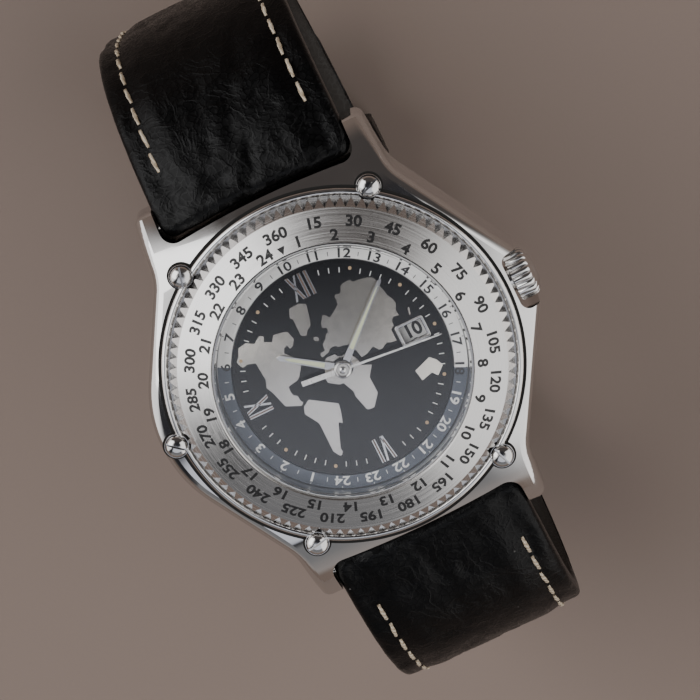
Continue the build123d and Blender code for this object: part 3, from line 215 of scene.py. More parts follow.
def makeScratches():
    # hairlines from handling, in two crossing directions
    tree, source, result = newGroup("fineScratches", {"Scale": 300.0}, {"Mask": "Float"})
    place = ownPlace(tree)
    masks = []
    for turn in hairlines["turns"]:
        mapping = addNode(tree, "ShaderNodeMapping")
        fill(tree, mapping, {"Vector": place, "Rotation": (turn, turn / 2, turn),
                             "Scale": (1, hairlines["thinness"], 1)})
        lines = noiseNode(tree, mapping.outputs["Vector"], source["Scale"], 3)["Fac"]
        masks.append(rangeNode(tree, lines, hairlines["faint"], hairlines["strong"]))
    fill(tree, result, {"Mask": mathNode(tree, "MAXIMUM", *masks)})
    return tree


def makeWear():
    # edges that stand out, from how sharply the surface bends; it marks edge wear, and on polished steel also
    # a painted highlight along the edges
    tree, source, result = newGroup("edgeWearAndHighlight", {"Spread": 0.56}, {"Mask": "Float"})
    bend = addNode(tree, "ShaderNodeNewGeometry").outputs["Pointiness"]
    sharp = rangeNode(tree, bend, 0.5, source["Spread"])
    patches = noiseNode(tree, ownPlace(tree), 900)["Fac"]
    fill(tree, result, {"Mask": mathNode(tree, "MULTIPLY", sharp, patches)})
    return tree


def makeRoundBrushing():
    # fine lines that run round the hands' axis
    tree, source, result = newGroup("roundBrushing", {"Lines": 9000.0}, {"Mask": "Float"})
    parts = splitNode(tree, ownPlace(tree))
    radius = vectorNode(tree, "LENGTH", joinNode(tree, parts["X"], parts["Y"]))
    unrolled = joinNode(tree, mathNode(tree, "MULTIPLY", radius, source["Lines"]),
                        mathNode(tree, "ARCTAN2", parts["Y"], parts["X"]),
                        mathNode(tree, "MULTIPLY", parts["Z"], source["Lines"]))
    lines = noiseNode(tree, unrolled, 1, brushing["detail"], Roughness=brushing["roughness"])["Fac"]
    fill(tree, result, {"Mask": lines})
    return tree


def makePebbleGrain():
    # a fine net of raised creases in the leather, slow folds across it, and pores
    tree, source, result = newGroup("pebbleGrain", {"Scale": 900.0}, {"Height": "Float", "Crease": "Float"})
    settings = leatherGrain
    place = ownPlace(tree)
    drift = vectorNode(tree, "SCALE", noiseNode(tree, place, settings["driftScale"], 3)["Color"],
                       settings["drift"])
    edge = cellNode(tree, vectorNode(tree, "ADD", place, drift), source["Scale"], feature="DISTANCE_TO_EDGE")
    ridge = rangeNode(tree, edge, 0, settings["ridgeReach"], settings["ridgeHeight"], 0)
    pores = rangeNode(tree, noiseNode(tree, place, settings["poreScale"], 4)["Fac"], 0.3, 0.7,
                      -settings["poreDepth"], settings["poreDepth"])
    folds = noiseNode(tree, place, settings["foldScale"], 5, Distortion=settings["foldTwist"])["Fac"]
    fromFold = mathNode(tree, "ABSOLUTE", mathNode(tree, "SUBTRACT", folds, 0.5))
    fold = rangeNode(tree, fromFold, 0, settings["foldReach"], 1, 0)
    fill(tree, result, {
        "Height": mathNode(tree, "ADD", mathNode(tree, "ADD", ridge, pores), fold),
        "Crease": rangeNode(tree, edge, settings["creaseStart"], settings["creaseEnd"], 1, 0),
    })
    return tree


def makeDomedFace():
    # a polished face that falls away a little towards its rim
    tree, source, result = newGroup("domedFace", {"Fall": 9.0}, {"Normal": "Vector"})
    normal = addNode(tree, "ShaderNodeNewGeometry").outputs["Normal"]
    flat = vectorNode(tree, "MULTIPLY", ownPlace(tree), (1, 1, 0))
    outward = vectorNode(tree, "SCALE", flat, source["Fall"])
    upward = rangeNode(tree, splitNode(tree, normal)["Z"], 0.5, 0.95)
    leant = vectorNode(tree, "ADD", normal, vectorNode(tree, "SCALE", outward, upward))
    fill(tree, result, {"Normal": vectorNode(tree, "NORMALIZE", leant)})
    return tree


def makeDust():
    # specks of dust, one to a cell
    tree, source, result = newGroup("dustSpecks", {"Scale": 700.0, "Reach": 0.06}, {"Mask": "Float"})
    cells = cellNode(tree, ownPlace(tree), source["Scale"])
    fill(tree, result, {"Mask": mathNode(tree, "LESS_THAN", cells, source["Reach"])})
    return tree


scratches = makeScratches()
edgeWearAndHighlight = makeWear()
roundBrushing = makeRoundBrushing()
pebbleGrain = makePebbleGrain()
domedFace = makeDomedFace()
dustSpecks = makeDust()


# floor, soft boxes of light round the watch and one lamp
studio = {
    "floorHeight": -43.5 * mm,
    "floorGap": 0.02 * mm,
    "floorSize": 1.6,
    "floorColour": (0.262, 0.203, 0.173),
    "floorGrain": 2600,
    "backdrop": (0.215, 0.165, 0.140),
    "backdropFade": (26, 4),
    "warmSky": (0.075, 0.066, 0.063),
    "darkSky": (0.028, 0.028, 0.032),
    "upward": 64.4,  # the way that is up in the camera's view
    "warmSide": (0.12, 0.45),
    "warmRim": (34, 18),
    "boxes": (
        # direction round, half its width, lowest and highest angle above the floor, soft edge
        {"round": 148.4, "half": 41.0, "low": -8, "high": 74, "soft": 6,
         "colour": (1.0, 0.995, 1.0), "glow": 1.38},
        {"round": -34.6, "half": 48.0, "low": -8, "high": 74, "soft": 6,
         "colour": (1.0, 0.99, 0.98), "glow": 1.45},
        {"round": -115.6, "half": 34, "low": 52, "high": 76.9, "soft": 2.0,
         "colour": (0.94, 0.97, 1.08), "glow": 0.85},
        {"round": -115.6, "half": 34, "low": 10, "high": 48, "soft": 4,
         "colour": (1.0, 1.0, 1.02), "glow": 0.2},
    ),
    "lamp": {"place": (-0.50, 0.42, 0.66), "target": (0, 0, 0), "size": 0.8, "watts": 2.8},
}
print("studio")


def fadeNode(sky, source, start, end):
    faded = rangeNode(sky, source, math.radians(start), math.radians(end))
    faded.node.interpolation_type = "SMOOTHSTEP"
    return faded


def lightBox(sky, direction, rise, box):
    # a soft-edged window of light in the sky
    ahead, across = (vectorNode(sky, "DOT_PRODUCT", direction, onCircle(1, box["round"] + turn))
                     for turn in (0, 90))
    away = mathNode(sky, "ABSOLUTE", mathNode(sky, "ARCTAN2", across, ahead))
    half, soft = box["half"], box["soft"]
    mask = fadeNode(sky, away, half + soft, half - soft)
    for start, end in ((box["low"] - soft, box["low"] + soft), (box["high"] + soft, box["high"] - soft)):
        mask = mathNode(sky, "MULTIPLY", mask, fadeNode(sky, rise, start, end))
    return vectorNode(sky, "SCALE", tuple(box["glow"] * part for part in box["colour"]), mask)


def buildFloor():
    mesh = bpy.data.meshes.new("floor")
    shell = bmesh.new()
    bmesh.ops.create_grid(shell, x_segments=2, y_segments=2, size=studio["floorSize"])
    shell.to_mesh(mesh)
    shell.free()
    floor = bpy.data.objects.new("floor", mesh)
    floor.location.z = studio["floorHeight"] - studio["floorGap"]
    bpy.context.collection.objects.link(floor)
    material, tree, shader = newMaterial("floorPaper")
    grain = noiseNode(tree, ownPlace(tree), studio["floorGrain"])["Fac"]
    colour = studio["floorColour"]
    fill(tree, shader, {"Base Color": mixColour(tree, grain, shaded(colour, 0.97), colour),
                        "Roughness": 0.85, "Specular IOR Level": 0.2})
    mesh.materials.append(material)


def buildSky():
    world = bpy.data.worlds.new("studioSky")
    bpy.context.scene.world = world
    world.use_nodes = True
    sky = world.node_tree
    sky.nodes.clear()
    direction = addNode(sky, "ShaderNodeTexCoord").outputs["Generated"]
    rise = mathNode(sky, "ARCSINE", vectorNode(sky, "DOT_PRODUCT", direction, (0, 0, 1)))
    upward = vectorNode(sky, "DOT_PRODUCT", direction, onCircle(1, studio["upward"]))
    warm = mathNode(sky, "MAXIMUM", rangeNode(sky, upward, *studio["warmSide"]),
                    fadeNode(sky, rise, *studio["warmRim"]))
    total = mixColour(sky, warm, studio["darkSky"], studio["warmSky"])
    # the camera, metal and glass all see the backdrop above the floor's edge
    rays = addNode(sky, "ShaderNodeLightPath").outputs
    seen = mathNode(sky, "MAXIMUM", rays["Is Glossy Ray"], rays["Is Transmission Ray"])
    seen = mathNode(sky, "MAXIMUM", rays["Is Camera Ray"], seen)
    behind = mathNode(sky, "MULTIPLY", seen, fadeNode(sky, rise, *studio["backdropFade"]))
    behind = mathNode(sky, "MAXIMUM", behind, rays["Is Camera Ray"])
    total = mixColour(sky, behind, total, studio["backdrop"])
    # the camera doesn't see the boxes themselves
    shown = mathNode(sky, "SUBTRACT", 1, rays["Is Camera Ray"])
    for box in studio["boxes"]:
        glow = vectorNode(sky, "SCALE", lightBox(sky, direction, rise, box), shown)
        total = vectorNode(sky, "ADD", total, glow)
    light = addNode(sky, "ShaderNodeBackground")
    feed(sky, total, light.inputs["Color"])
    feed(sky, light.outputs[0], addNode(sky, "ShaderNodeOutputWorld").inputs["Surface"])


def buildLamp():
    settings = studio["lamp"]
    lamp = bpy.data.lights.new("keyLamp", "AREA")
    lamp.size = settings["size"]
    lamp.energy = settings["watts"]
    holder = bpy.data.objects.new("keyLamp", lamp)
    holder.location = settings["place"]
    aim = Vector(settings["target"]) - Vector(settings["place"])
    holder.rotation_euler = aim.to_track_quat("-Z", "Y").to_euler()
    bpy.context.collection.objects.link(holder)


buildFloor()
buildSky()
buildLamp()


# metal and other hard finishes
steelColour = (0.68, 0.67, 0.66)


def polishedSteel(name, colour=steelColour, low=0.045, high=0.13, scale=260.0, fall=0.0):
    # hairlines on a polished face, and sharp edges a little brighter: partly edge wear, partly a painted
    # highlight
    material, tree, shader = newMaterial(name)
    domed = placeGroup(tree, domedFace, Fall=fall)["Normal"] if fall else None
    lines = placeGroup(tree, scratches, Scale=scale)["Mask"]
    wearAndHighlight = placeGroup(tree, edgeWearAndHighlight, Spread=0.58)["Mask"]
    fill(tree, shader, {
        "Metallic": 1,
        "Roughness": rangeNode(tree, lines, 0, 1, low, high),
        # painted highlight and wear: the colour is raised where the edge mask is set
        "Base Color": mixColour(tree, wearAndHighlight, colour, shaded(colour, 1.08)),
        "Normal": bumpNode(tree, lines, 0.012, 0.02 * mm, domed),
    })
    return material


def turnedSteel(name, colour=steelColour, low=0.2, high=0.36, lines=9000.0, pull=0.65):
    # fine lines round the axis, and light that fans out across them
    material, tree, shader = newMaterial(name)
    tangent = addNode(tree, "ShaderNodeTangent", direction_type="RADIAL", axis="Z")
    brush = placeGroup(tree, roundBrushing, Lines=lines)["Mask"]
    shade = rangeNode(tree, brush, 0.3, 0.7)
    fill(tree, shader, {
        "Metallic": 1,
        "Anisotropic": pull,
        "Tangent": tangent.outputs[0],
        "Roughness": rangeNode(tree, brush, 0.3, 0.7, low, high),
        "Base Color": mixColour(tree, shade, shaded(colour, 0.86), colour),
        "Normal": bumpNode(tree, brush, 0.1, 0.02 * mm),
    })
    return material


def plainFinish(name, colour, low, high, scale, metal=0.0, coat=0.0, bump=0.05, depth=0.02 * mm,
                fall=0.0, shine=0.5):
    # an even finish with fine mottling
    material, tree, shader = newMaterial(name)
    domed = placeGroup(tree, domedFace, Fall=fall)["Normal"] if fall else None
    mottling = noiseNode(tree, ownPlace(tree), scale, 4)["Fac"]
    fill(tree, shader, {
        "Metallic": metal,
        "Specular IOR Level": shine,
        "Coat Weight": coat,
        "Coat Roughness": 0.04,
        "Roughness": rangeNode(tree, mottling, 0.3, 0.7, low, high),
        "Base Color": mixColour(tree, mottling, shaded(colour, 0.88), colour),
        "Normal": bumpNode(tree, mottling, bump, depth, domed),
    })
    return material


dayNight = {
    "turn": 63.9,  # where noon stands on the ring
    "day": (0.94, 0.935, 0.92),
    "night": (0.085, 0.10, 0.13),
    "lines": 6000.0,
}


def makeDayNight():
    # the half from 6 to 18 is silver, the other half blue-grey
    material, tree, shader = newMaterial("ringPrint")
    side = vectorNode(tree, "DOT_PRODUCT", ownPlace(tree), onCircle(1, dayNight["turn"]))
    day = mathNode(tree, "GREATER_THAN", side, 0)
    brush = placeGroup(tree, roundBrushing, Lines=dayNight["lines"])["Mask"]
    spread = rangeNode(tree, brush, 0.3, 0.7)
    silver = mixColour(tree, spread, shaded(dayNight["day"], 0.9), dayNight["day"])
    blue = mixColour(tree, spread, shaded(dayNight["night"], 0.85), dayNight["night"])
    fill(tree, shader, {"Base Color": mixColour(tree, day, blue, silver),
                        "Roughness": rangeNode(tree, day, 0, 1, 0.3, 0.5)})
    return material


def makeCrystal():
    # clear glass that lets the lamp's light through to the dial
    material, tree, shader = newMaterial("crystalGlass")
    fill(tree, shader, {"Base Color": (1, 1, 1), "Roughness": 0, "IOR": 1.5, "Transmission Weight": 1})
    mix = addNode(tree, "ShaderNodeMixShader")
    sources = (addNode(tree, "ShaderNodeLightPath").outputs["Is Shadow Ray"], shader.outputs[0],
               addNode(tree, "ShaderNodeBsdfTransparent").outputs[0])
    for source, socket in zip(sources, mix.inputs):
        feed(tree, source, socket)
    feed(tree, mix.outputs[0], tree.nodes["Material Output"].inputs["Surface"])
    return material


print("finishes")
finishes = {
    "caseSteel": polishedSteel("caseSteel", fall=9.0),
    "bezelSteel": turnedSteel("bezelSteel", low=0.16, high=0.3, pull=0.8),
    "brightSteel": polishedSteel("brightSteel", low=0.08, high=0.2, scale=500.0),
    "crownSteel": polishedSteel("crownSteel", low=0.12, high=0.24, scale=700.0),
    "handSteel": polishedSteel("handSteel", (0.86, 0.85, 0.83), 0.06, 0.16, 700.0),
    # painted shade: a flat black finish for thin sheets laid where shade falls round the retaining ring and
    # the screws
    "paintedShadeBlack": plainFinish("paintedShadeBlack", (0.012, 0.011, 0.01), 0.5, 0.7, 900, shine=0.2),
    "blackSeal": plainFinish("blackSeal", (0.012, 0.012, 0.012), 0.45, 0.65, 1500),
    "rehautSteel": turnedSteel("rehautSteel", (0.80, 0.79, 0.78), 0.25, 0.4, 7000.0),
    "dialBlack": plainFinish("dialBlack", (0.003, 0.003, 0.0034), 0.1, 0.16, 500,
                             coat=0.5, bump=0.0, shine=0.2),
    "mapSilver": plainFinish("mapSilver", (0.80, 0.765, 0.71), 0.22, 0.24, 1800,
                             metal=1.0, bump=0.03, fall=14.0),
    "movementNickel": turnedSteel("movementNickel", (0.66, 0.65, 0.62), 0.22, 0.4, 5000.0),
    "movementBrass": plainFinish("movementBrass", (0.72, 0.53, 0.24), 0.22, 0.38, 1500, metal=1.0),
    "datePaper": plainFinish("datePaper", (0.92, 0.92, 0.90), 0.5, 0.62, 1500),
    "lumePaste": plainFinish("lumePaste", (0.72, 0.76, 0.52), 0.6, 0.8, 4200, bump=0.35, depth=0.04 * mm),
    "inkBlack": plainFinish("inkBlack", (0.012, 0.012, 0.013), 0.4, 0.55, 2500),
    "inkWhite": plainFinish("inkWhite", (0.84, 0.84, 0.82), 0.4, 0.55, 2500),
    "numeralGroove": plainFinish("numeralGroove", (0.20, 0.125, 0.09), 0.3, 0.42, 2500, metal=0.8),
    "secondsSteel": plainFinish("secondsSteel", (0.90, 0.89, 0.87), 0.22, 0.32, 700, metal=0.45),
    "copperDot": plainFinish("copperDot", (0.62, 0.44, 0.26), 0.3, 0.45, 2500, metal=0.7),
    "ringPrint": makeDayNight(),
    "crystalGlass": makeCrystal(),
}
# what each solid that stays is made of, and brass for the wheels that aren't named
nodeFinishes = {
    "caseSteel": ("case_middle", "case_back", "buckle_frame", "buckle_prong"),
    "brightSteel": ("bezel_click_spring", "hour_wheel", "cannon_pinion", "crown_tube", "winding_stem",
                    "rotor_bearing", "spring_bar_12", "spring_bar_6", "buckle_bar"),
    "bezelSteel": ("bezel",),
    "crystalGlass": ("crystal",),
    "rehautSteel": ("crystal_gasket", "rehaut_ring"),
    "blackSeal": ("case_back_gasket", "crown_seal"),
    "dialBlack": ("dial",),
    "ringPrint": ("hour24_ring",),
    "datePaper": ("date_ring",),
    "movementNickel": ("calendar_plate", "main_plate", "train_bridge", "balance_cock", "rotor"),
    "handSteel": ("hour_hand", "minute_hand"),
    "secondsSteel": ("seconds_hand",),
    "lumePaste": ("hour_hand_lume", "minute_hand_lume"),
}
finishOfNode = {nodeName: finish for finish, nodeNames in nodeFinishes.items() for nodeName in nodeNames}
for nodeName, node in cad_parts.items():
    for materialSlot in node.material_slots:
        materialSlot.material = finishes[finishOfNode.get(nodeName, "movementBrass")]


# helpers that make and join meshes
def newMesh(name, shape, outward=False):
    # outward turns every face of a closed shell to its outside
    points, faces = shape
    mesh = bpy.data.meshes.new(name)
    mesh.from_pydata([tuple(point) for point in points], [], faces)
    if outward:
        shell = bmesh.new()
        shell.from_mesh(mesh)
        bmesh.ops.recalc_face_normals(shell, faces=shell.faces)
        shell.to_mesh(mesh)
        shell.free()
    mesh.validate()
    mesh.update()
    return mesh


def newObject(name, mesh):
    made = bpy.data.objects.new(name, mesh)
    bpy.context.collection.objects.link(made)
    return made


def makePiece(name, shape, body, finish, slot, smoothed=False, outward=False, sharp=None, instead=None):
    # sharp is the angle from which an edge of a smooth piece stays sharp
    mesh = newMesh(name, shape, outward)
    mesh.materials.append(finishes[finish])
    for polygon in mesh.polygons:
        polygon.use_smooth = smoothed
    piece = newObject(name, mesh)
    if sharp:
        edges = piece.modifiers.new("edges", "EDGE_SPLIT")
        edges.split_angle = math.radians(sharp)
    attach(piece, body)
    if instead:
        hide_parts(instead)
    return piece


def gather(parts):
    points, faces = [], []
    for partPoints, partFaces in parts:
        start = len(points)
        points.extend(partPoints)
        faces.extend(tuple(start + index for index in face) for face in partFaces)
    return points, faces


def bandFaces(rows, count, closed=False, start=0, inward=False):
    # faces between loops of points, where closed joins the last loop to the first
    faces = []
    for row in range(rows if closed else rows - 1):
        near, far = start + row * count, start + (row + 1) % rows * count
        for step in range(count):
            ahead = (step + 1) % count
            face = (near + step, near + ahead, far + ahead, far + step)
            faces.append(face[:1] + face[:0:-1] if inward else face)
    return faces


def prism(loops):
    # a solid between two matching loops of points
    count = len(loops[0])
    faces = [tuple(reversed(range(count))), tuple(range(count, 2 * count))]
    return [point for loop in loops for point in loop], faces + bandFaces(2, count)


def prismShape(outline, low, high):
    return prism([[Vector((x, y, z)) * mm for x, y in outline] for z in (low, high)])


def barShape(across, along, height):
    corners = ((-1, -1), (1, -1), (1, 1), (-1, 1))
    return prism([[Vector((x * across / 2, y * along / 2, z)) for x, y in corners]
                  for z in (-height, height)])


def dotShape(radius, height, count=16):
    return prism([[onCircle(radius, 360 * step / count, z) for step in range(count)]
                  for z in (-height, height)])


def ringShape(profile, count, middle=(0, 0, 0)):
    # a closed profile of reach and height turned round the middle
    points = [onCircle(radius * mm, 360 * step / count, height * mm) + Vector(middle)
              for radius, height in profile for step in range(count)]
    return points, bandFaces(len(profile), count, closed=True, inward=True)


def roundOutline(centre, radius, longer=0.0, count=28):
    # a circle in mm, or a slot where longer adds to it both ways
    points = []
    for step in range(count):
        angle = 2 * math.pi * (step + 0.5) / count
        shift = longer if math.sin(angle) > 0 else -longer
        points.append((centre[0] + radius * math.cos(angle), centre[1] + radius * math.sin(angle) + shift))
    return points


def carve(piece, cutters):
    # holes and slots, cut one after another
    for shape in cutters:
        mesh = newMesh("cutter", shape, True)
        cutter = newObject("cutter", mesh)
        modifier = piece.modifiers.new("cut", "BOOLEAN")
        modifier.operation = "DIFFERENCE"
        modifier.solver = "EXACT"
        modifier.object = cutter
        bpy.context.view_layer.update()
        carved = bpy.data.meshes.new_from_object(piece.evaluated_get(bpy.context.evaluated_depsgraph_get()))
        piece.modifiers.clear()
        old = piece.data
        piece.data = carved
        bpy.data.meshes.remove(old)
        bpy.data.objects.remove(cutter)
        bpy.data.meshes.remove(mesh)


# printed and engraved numbers
printing = {
    "depth": 0.008 * mm,
    "capHeight": 0.729,  # of a number in Blender's own font, as a share of its size
    "slope": 0.94,  # how much shorter a number is on the bezel's slope, seen from above
}


def textMesh(text, height, weight, wide=1.0):
    # the flat outline of one number, its middle at the origin
    curve = bpy.data.curves.new("number", "FONT")
    curve.body = text
    curve.size = height / printing["capHeight"]
    curve.offset = weight
    curve.align_x = "CENTER"
    curve.resolution_u = 4
    curve.fill_mode = "BOTH"
    curve.extrude = printing["depth"]
    holder = newObject("number", curve)
    bpy.context.view_layer.update()
    mesh = bpy.data.meshes.new_from_object(holder.evaluated_get(bpy.context.evaluated_depsgraph_get()))
    points = [Vector((vertex.co.x * wide, vertex.co.y - height / 2, vertex.co.z)) for vertex in mesh.vertices]
    faces = [tuple(polygon.vertices) for polygon in mesh.polygons]
    bpy.data.objects.remove(holder)
    bpy.data.curves.remove(curve)
    bpy.data.meshes.remove(mesh)
    return points, faces


def wrapRound(shape, radius, angle, surface, stretch=1.0):
    # lays a flat shape on a ring with its top outward, bent to the ring's curve
    points, faces = shape
    wrapped = []
    for point in points:
        reach = radius + point.y * stretch
        turn = angle - math.degrees(point.x / radius)
        wrapped.append(onCircle(reach, turn, surface(reach) + point.z))
    return wrapped, faces


print("bezel numbers")
bezelNumbers = {
    "outerRadius": 14.45 * mm,
    "innerRadius": 13.2 * mm,
    "height": 1.06 * mm,
    "weight": 0.05 * mm,
    "wide": 1.08,
    "footRadius": 15.6 * mm,
    "footHeight": 9.22 * mm,
    "topRadius": 12.45 * mm,
    "topHeight": 10.38 * mm,
    "noon": 90.0,
    "arrow": ((-0.38, 0.36), (0, -0.42), (0.38, 0.36)),
    "arrowRadius": 12.95 * mm,
}


def coneHeight(radius):
    share = (bezelNumbers["footRadius"] - radius) / (bezelNumbers["footRadius"] - bezelNumbers["topRadius"])
    return bezelNumbers["footHeight"] + share * (bezelNumbers["topHeight"] - bezelNumbers["footHeight"])


def buildBezelNumbers():
    settings = bezelNumbers
    look = (settings["height"], settings["weight"], settings["wide"])
    slope = printing["slope"]
    parts = []
    for hour in range(1, 25):
        angle = settings["noon"] - 15 * hour
        outer, inner = textMesh(str(15 * hour), *look), textMesh(str(hour), *look)
        parts.append(wrapRound(outer, settings["outerRadius"], angle, coneHeight, slope))
        parts.append(wrapRound(inner, settings["innerRadius"], angle + 7.5, coneHeight, slope))
    arrow = prism([[Vector((x * mm, y * mm, z)) for x, y in settings["arrow"]]
                   for z in (-printing["depth"], printing["depth"])])
    parts.append(wrapRound(arrow, settings["arrowRadius"], settings["noon"], coneHeight, slope))
    makePiece("bezel_numbers", gather(parts), "bezel", "inkBlack", "ring_print")


buildBezelNumbers()

print("24-hour ring")
ringNumbers = {
    "radius": 11.08 * mm,
    "height": 0.9 * mm,
    "weight": 0.028 * mm,
    "wide": 1.24,
    "top": 8.0 * mm,
    "tenAngle": 93.9,
    "lineWidth": 0.07 * mm,
    "tickLength": 0.4 * mm,
    "tickRadius": 11.02 * mm,
    "dashLength": 0.14 * mm,
    "dashRadius": 11.68 * mm,
}


def buildRingNumbers():
    # a number and a dash at each hour, and a tick half-way to the next
    settings = ringNumbers
    level = lambda reach: settings["top"]
    tick, dash = (barShape(settings["lineWidth"], settings[name], printing["depth"])
                  for name in ("tickLength", "dashLength"))
    dayParts, nightParts = [], []
    for hour in range(1, 25):
        angle = settings["tenAngle"] - (hour - 10) * 15
        number = textMesh(str(hour), settings["height"], settings["weight"], settings["wide"])
        (dayParts if 6 <= hour <= 18 else nightParts).extend([
            wrapRound(number, settings["radius"], angle, level),
            wrapRound(dash, settings["dashRadius"], angle, level),
        ])
        halfway = wrapRound(tick, settings["tickRadius"], angle - 7.5, level)
        (dayParts if 6 <= hour < 18 else nightParts).append(halfway)
    makePiece("day_numbers", gather(dayParts), "hour24_ring", "inkBlack", "ring_print")
    makePiece("night_numbers", gather(nightParts), "hour24_ring", "inkWhite", "ring_print")


buildRingNumbers()

print("hour numerals")
hourNumerals = {
    "radius": 8.8 * mm,
    "halfHeight": 1.22 * mm,
    "foot": 8.0 * mm,
    "bodyHeight": 0.08 * mm,
    "ridgeHeight": 0.19 * mm,
    "thick": 0.34 * mm,
    "thin": 0.2 * mm,
    "ridge": 0.1 * mm,
    "lean": 0.4 * mm,
    "pitch": {"I": 0.62 * mm, "V": 1.0 * mm, "X": 1.05 * mm},
    "numerals": (("XII", 90), ("IX", 180), ("VI", 270)),
}


def strokeShape(foot, head, width, height):
    half = hourNumerals["halfHeight"]
    corners = ((foot, -half, -1), (foot, -half, 1), (head, half, 1), (head, half, -1))
    return prism([[Vector((middle + side * width / 2, end, z)) for middle, end, side in corners]
                  for z in (0, height)])


def buildHourNumerals():
    # each stroke is a dark bar with a bright ridge along both of its edges
    settings = hourNumerals
    lean, thick, thin, ridge = (settings[key] for key in ("lean", "thick", "thin", "ridge"))
    letters = {
        "I": ((0, 0, thick),),
        "V": ((0, -lean, thick), (0, lean, thin)),
        "X": ((lean, -lean, thick), (-lean, lean, thin)),
    }
    bodies, ridges = [], []
    for numeral, angle in settings["numerals"]:
        place = Matrix.Translation(onCircle(settings["radius"], angle, settings["foot"]))
        place = place @ Matrix.Rotation(math.radians(angle - 90), 4, "Z")
        left = -sum(settings["pitch"][letter] for letter in numeral) / 2
        for letter in numeral:
            middle = left + settings["pitch"][letter] / 2
            left += settings["pitch"][letter]
            for foot, head, width in letters[letter]:
                aside = (width - ridge) / 2
                strokes = [(bodies, 0, width, settings["bodyHeight"])]
                strokes += [(ridges, side * aside, ridge, settings["ridgeHeight"]) for side in (-1, 1)]
                for target, shift, strokeWidth, height in strokes:
                    low, high = middle + foot + shift, middle + head + shift
                    points, faces = strokeShape(low, high, strokeWidth, height)
                    target.append(([place @ point for point in points], faces))
    makePiece("numeral_bodies", gather(bodies), "case", "numeralGroove", "marker_steel",
              instead="hour_numerals")
    makePiece("numeral_ridges", gather(ridges), "case", "handSteel", "marker_steel")


buildHourNumerals()

print("date frame")
dateFrame = {
    "middle": (7.45 * mm, 0.225 * mm),
    "inner": (1.15 * mm, 0.825 * mm),
    "wall": 0.3 * mm,
    "foot": 8.0 * mm,
    "height": 0.15 * mm,
    "edge": 0.06 * mm,
    "lip": 0.1 * mm,
    "corner": 0.22 * mm,
    "innerCorner": 0.35,
}


def cornerOutline(halfAcross, halfUp, radius, height):
    return [
        onCircle(radius, turn + 15 * step, height)
        + Vector((sideX * (halfAcross - radius), sideY * (halfUp - radius), 0))
        for turn, sideX, sideY in ((0, 1, 1), (90, -1, 1), (180, -1, -1), (270, 1, -1))
        for step in range(7)
    ]


def buildDateFrame():
    # a rounded frame with softened edges round the date
    settings = dateFrame
    across, up = settings["inner"]
    wall, edge, height = settings["wall"], settings["edge"], settings["height"]
    profile = ((wall, 0), (wall, height - edge), (wall - edge, height), (edge, height),
               (0, height - edge), (0, -settings["lip"]))
    loops = [
        cornerOutline(across + reach, up + reach,
                      settings["corner"] * (settings["innerCorner"] + reach / wall), settings["foot"] + level)
        for reach, level in profile
    ]
    shift = Vector((*settings["middle"], 0))
    points = [point + shift for loop in loops for point in loop]
    faces = bandFaces(len(loops), len(loops[0]), closed=True)
    makePiece("date_window_frame", (points, faces), "case", "handSteel", "marker_steel", instead="date_frame")


buildDateFrame()

print("dial print")
dialPrint = {
    "top": 8.0 * mm,
    "tickRadius": 9.42 * mm,
    "tickLength": 0.5 * mm,
    "tickWidth": 0.085 * mm,
    "dotRadius": 9.62 * mm,
    "dotSize": 0.17 * mm,
    "dotHeight": 0.08 * mm,
    "numeralMinutes": (0, 30, 45),
    "bareMinutes": (59, 1, 29, 31, 44, 46),
}


def buildDialPrint():
    # a dot at every fifth minute and a tick at the others, bare where a numeral stands
    settings = dialPrint
    level = lambda reach: settings["top"]
    tick = barShape(settings["tickWidth"], settings["tickLength"], printing["depth"])
    dot = dotShape(settings["dotSize"], settings["dotHeight"])
    ticks, dots = [], []
    for minute in range(60):
        angle = 90 - 6 * minute
        if minute in settings["numeralMinutes"] + settings["bareMinutes"]:
            continue
        if minute % 5 == 0:
            dots.append(wrapRound(dot, settings["dotRadius"], angle, level))
        else:
            ticks.append(wrapRound(tick, settings["tickRadius"], angle, level))
    makePiece("minute_ticks", gather(ticks), "case", "inkWhite", "ring_print")
    makePiece("minute_dots", gather(dots), "case", "copperDot", "marker_steel")


buildDialPrint()

print("date numbers")
dateNumbers = {
    "radius": 7.45 * mm,
    "height": 1.3 * mm,
    "weight": 0.06 * mm,
    "top": 7.05 * mm,
    "windowAngle": 1.73,
    "shown": 10,
}


def buildDateNumbers():
    settings = dateNumbers
    outward = Vector((settings["radius"], 0, settings["top"]))
    parts = []
    for day in range(1, 32):
        angle = settings["windowAngle"] + (day - settings["shown"]) * 360 / 31
        turn = Matrix.Rotation(math.radians(angle), 4, "Z")
        points, faces = textMesh(str(day), settings["height"], settings["weight"])
        parts.append(([turn @ (point + outward) for point in points], faces))
    makePiece("date_numbers", gather(parts), "date_ring", "inkBlack", "ring_print")


buildDateNumbers()


# leather and thread
leatherWear = {
    "wornSpread": 0.6,
    "wornGain": 1.8,
    "wornLift": 0.0015,
    "dustScale": 330.0,
    "dustReach": 0.035,
    "dustColour": (0.10, 0.095, 0.09),
    "pebbleCoat": 0.3,
    "coatRoughness": 0.3,
    "shine": 0.16,
}
thread = {
    "dark": (0.40, 0.31, 0.21),
    "light": (0.72, 0.62, 0.48),
    "plyScale": 900,
    "plyWander": 0.4,
    "roughness": (0.75, 0.55),
    "bump": 0.6,
    "depth": 0.08 * mm,
}


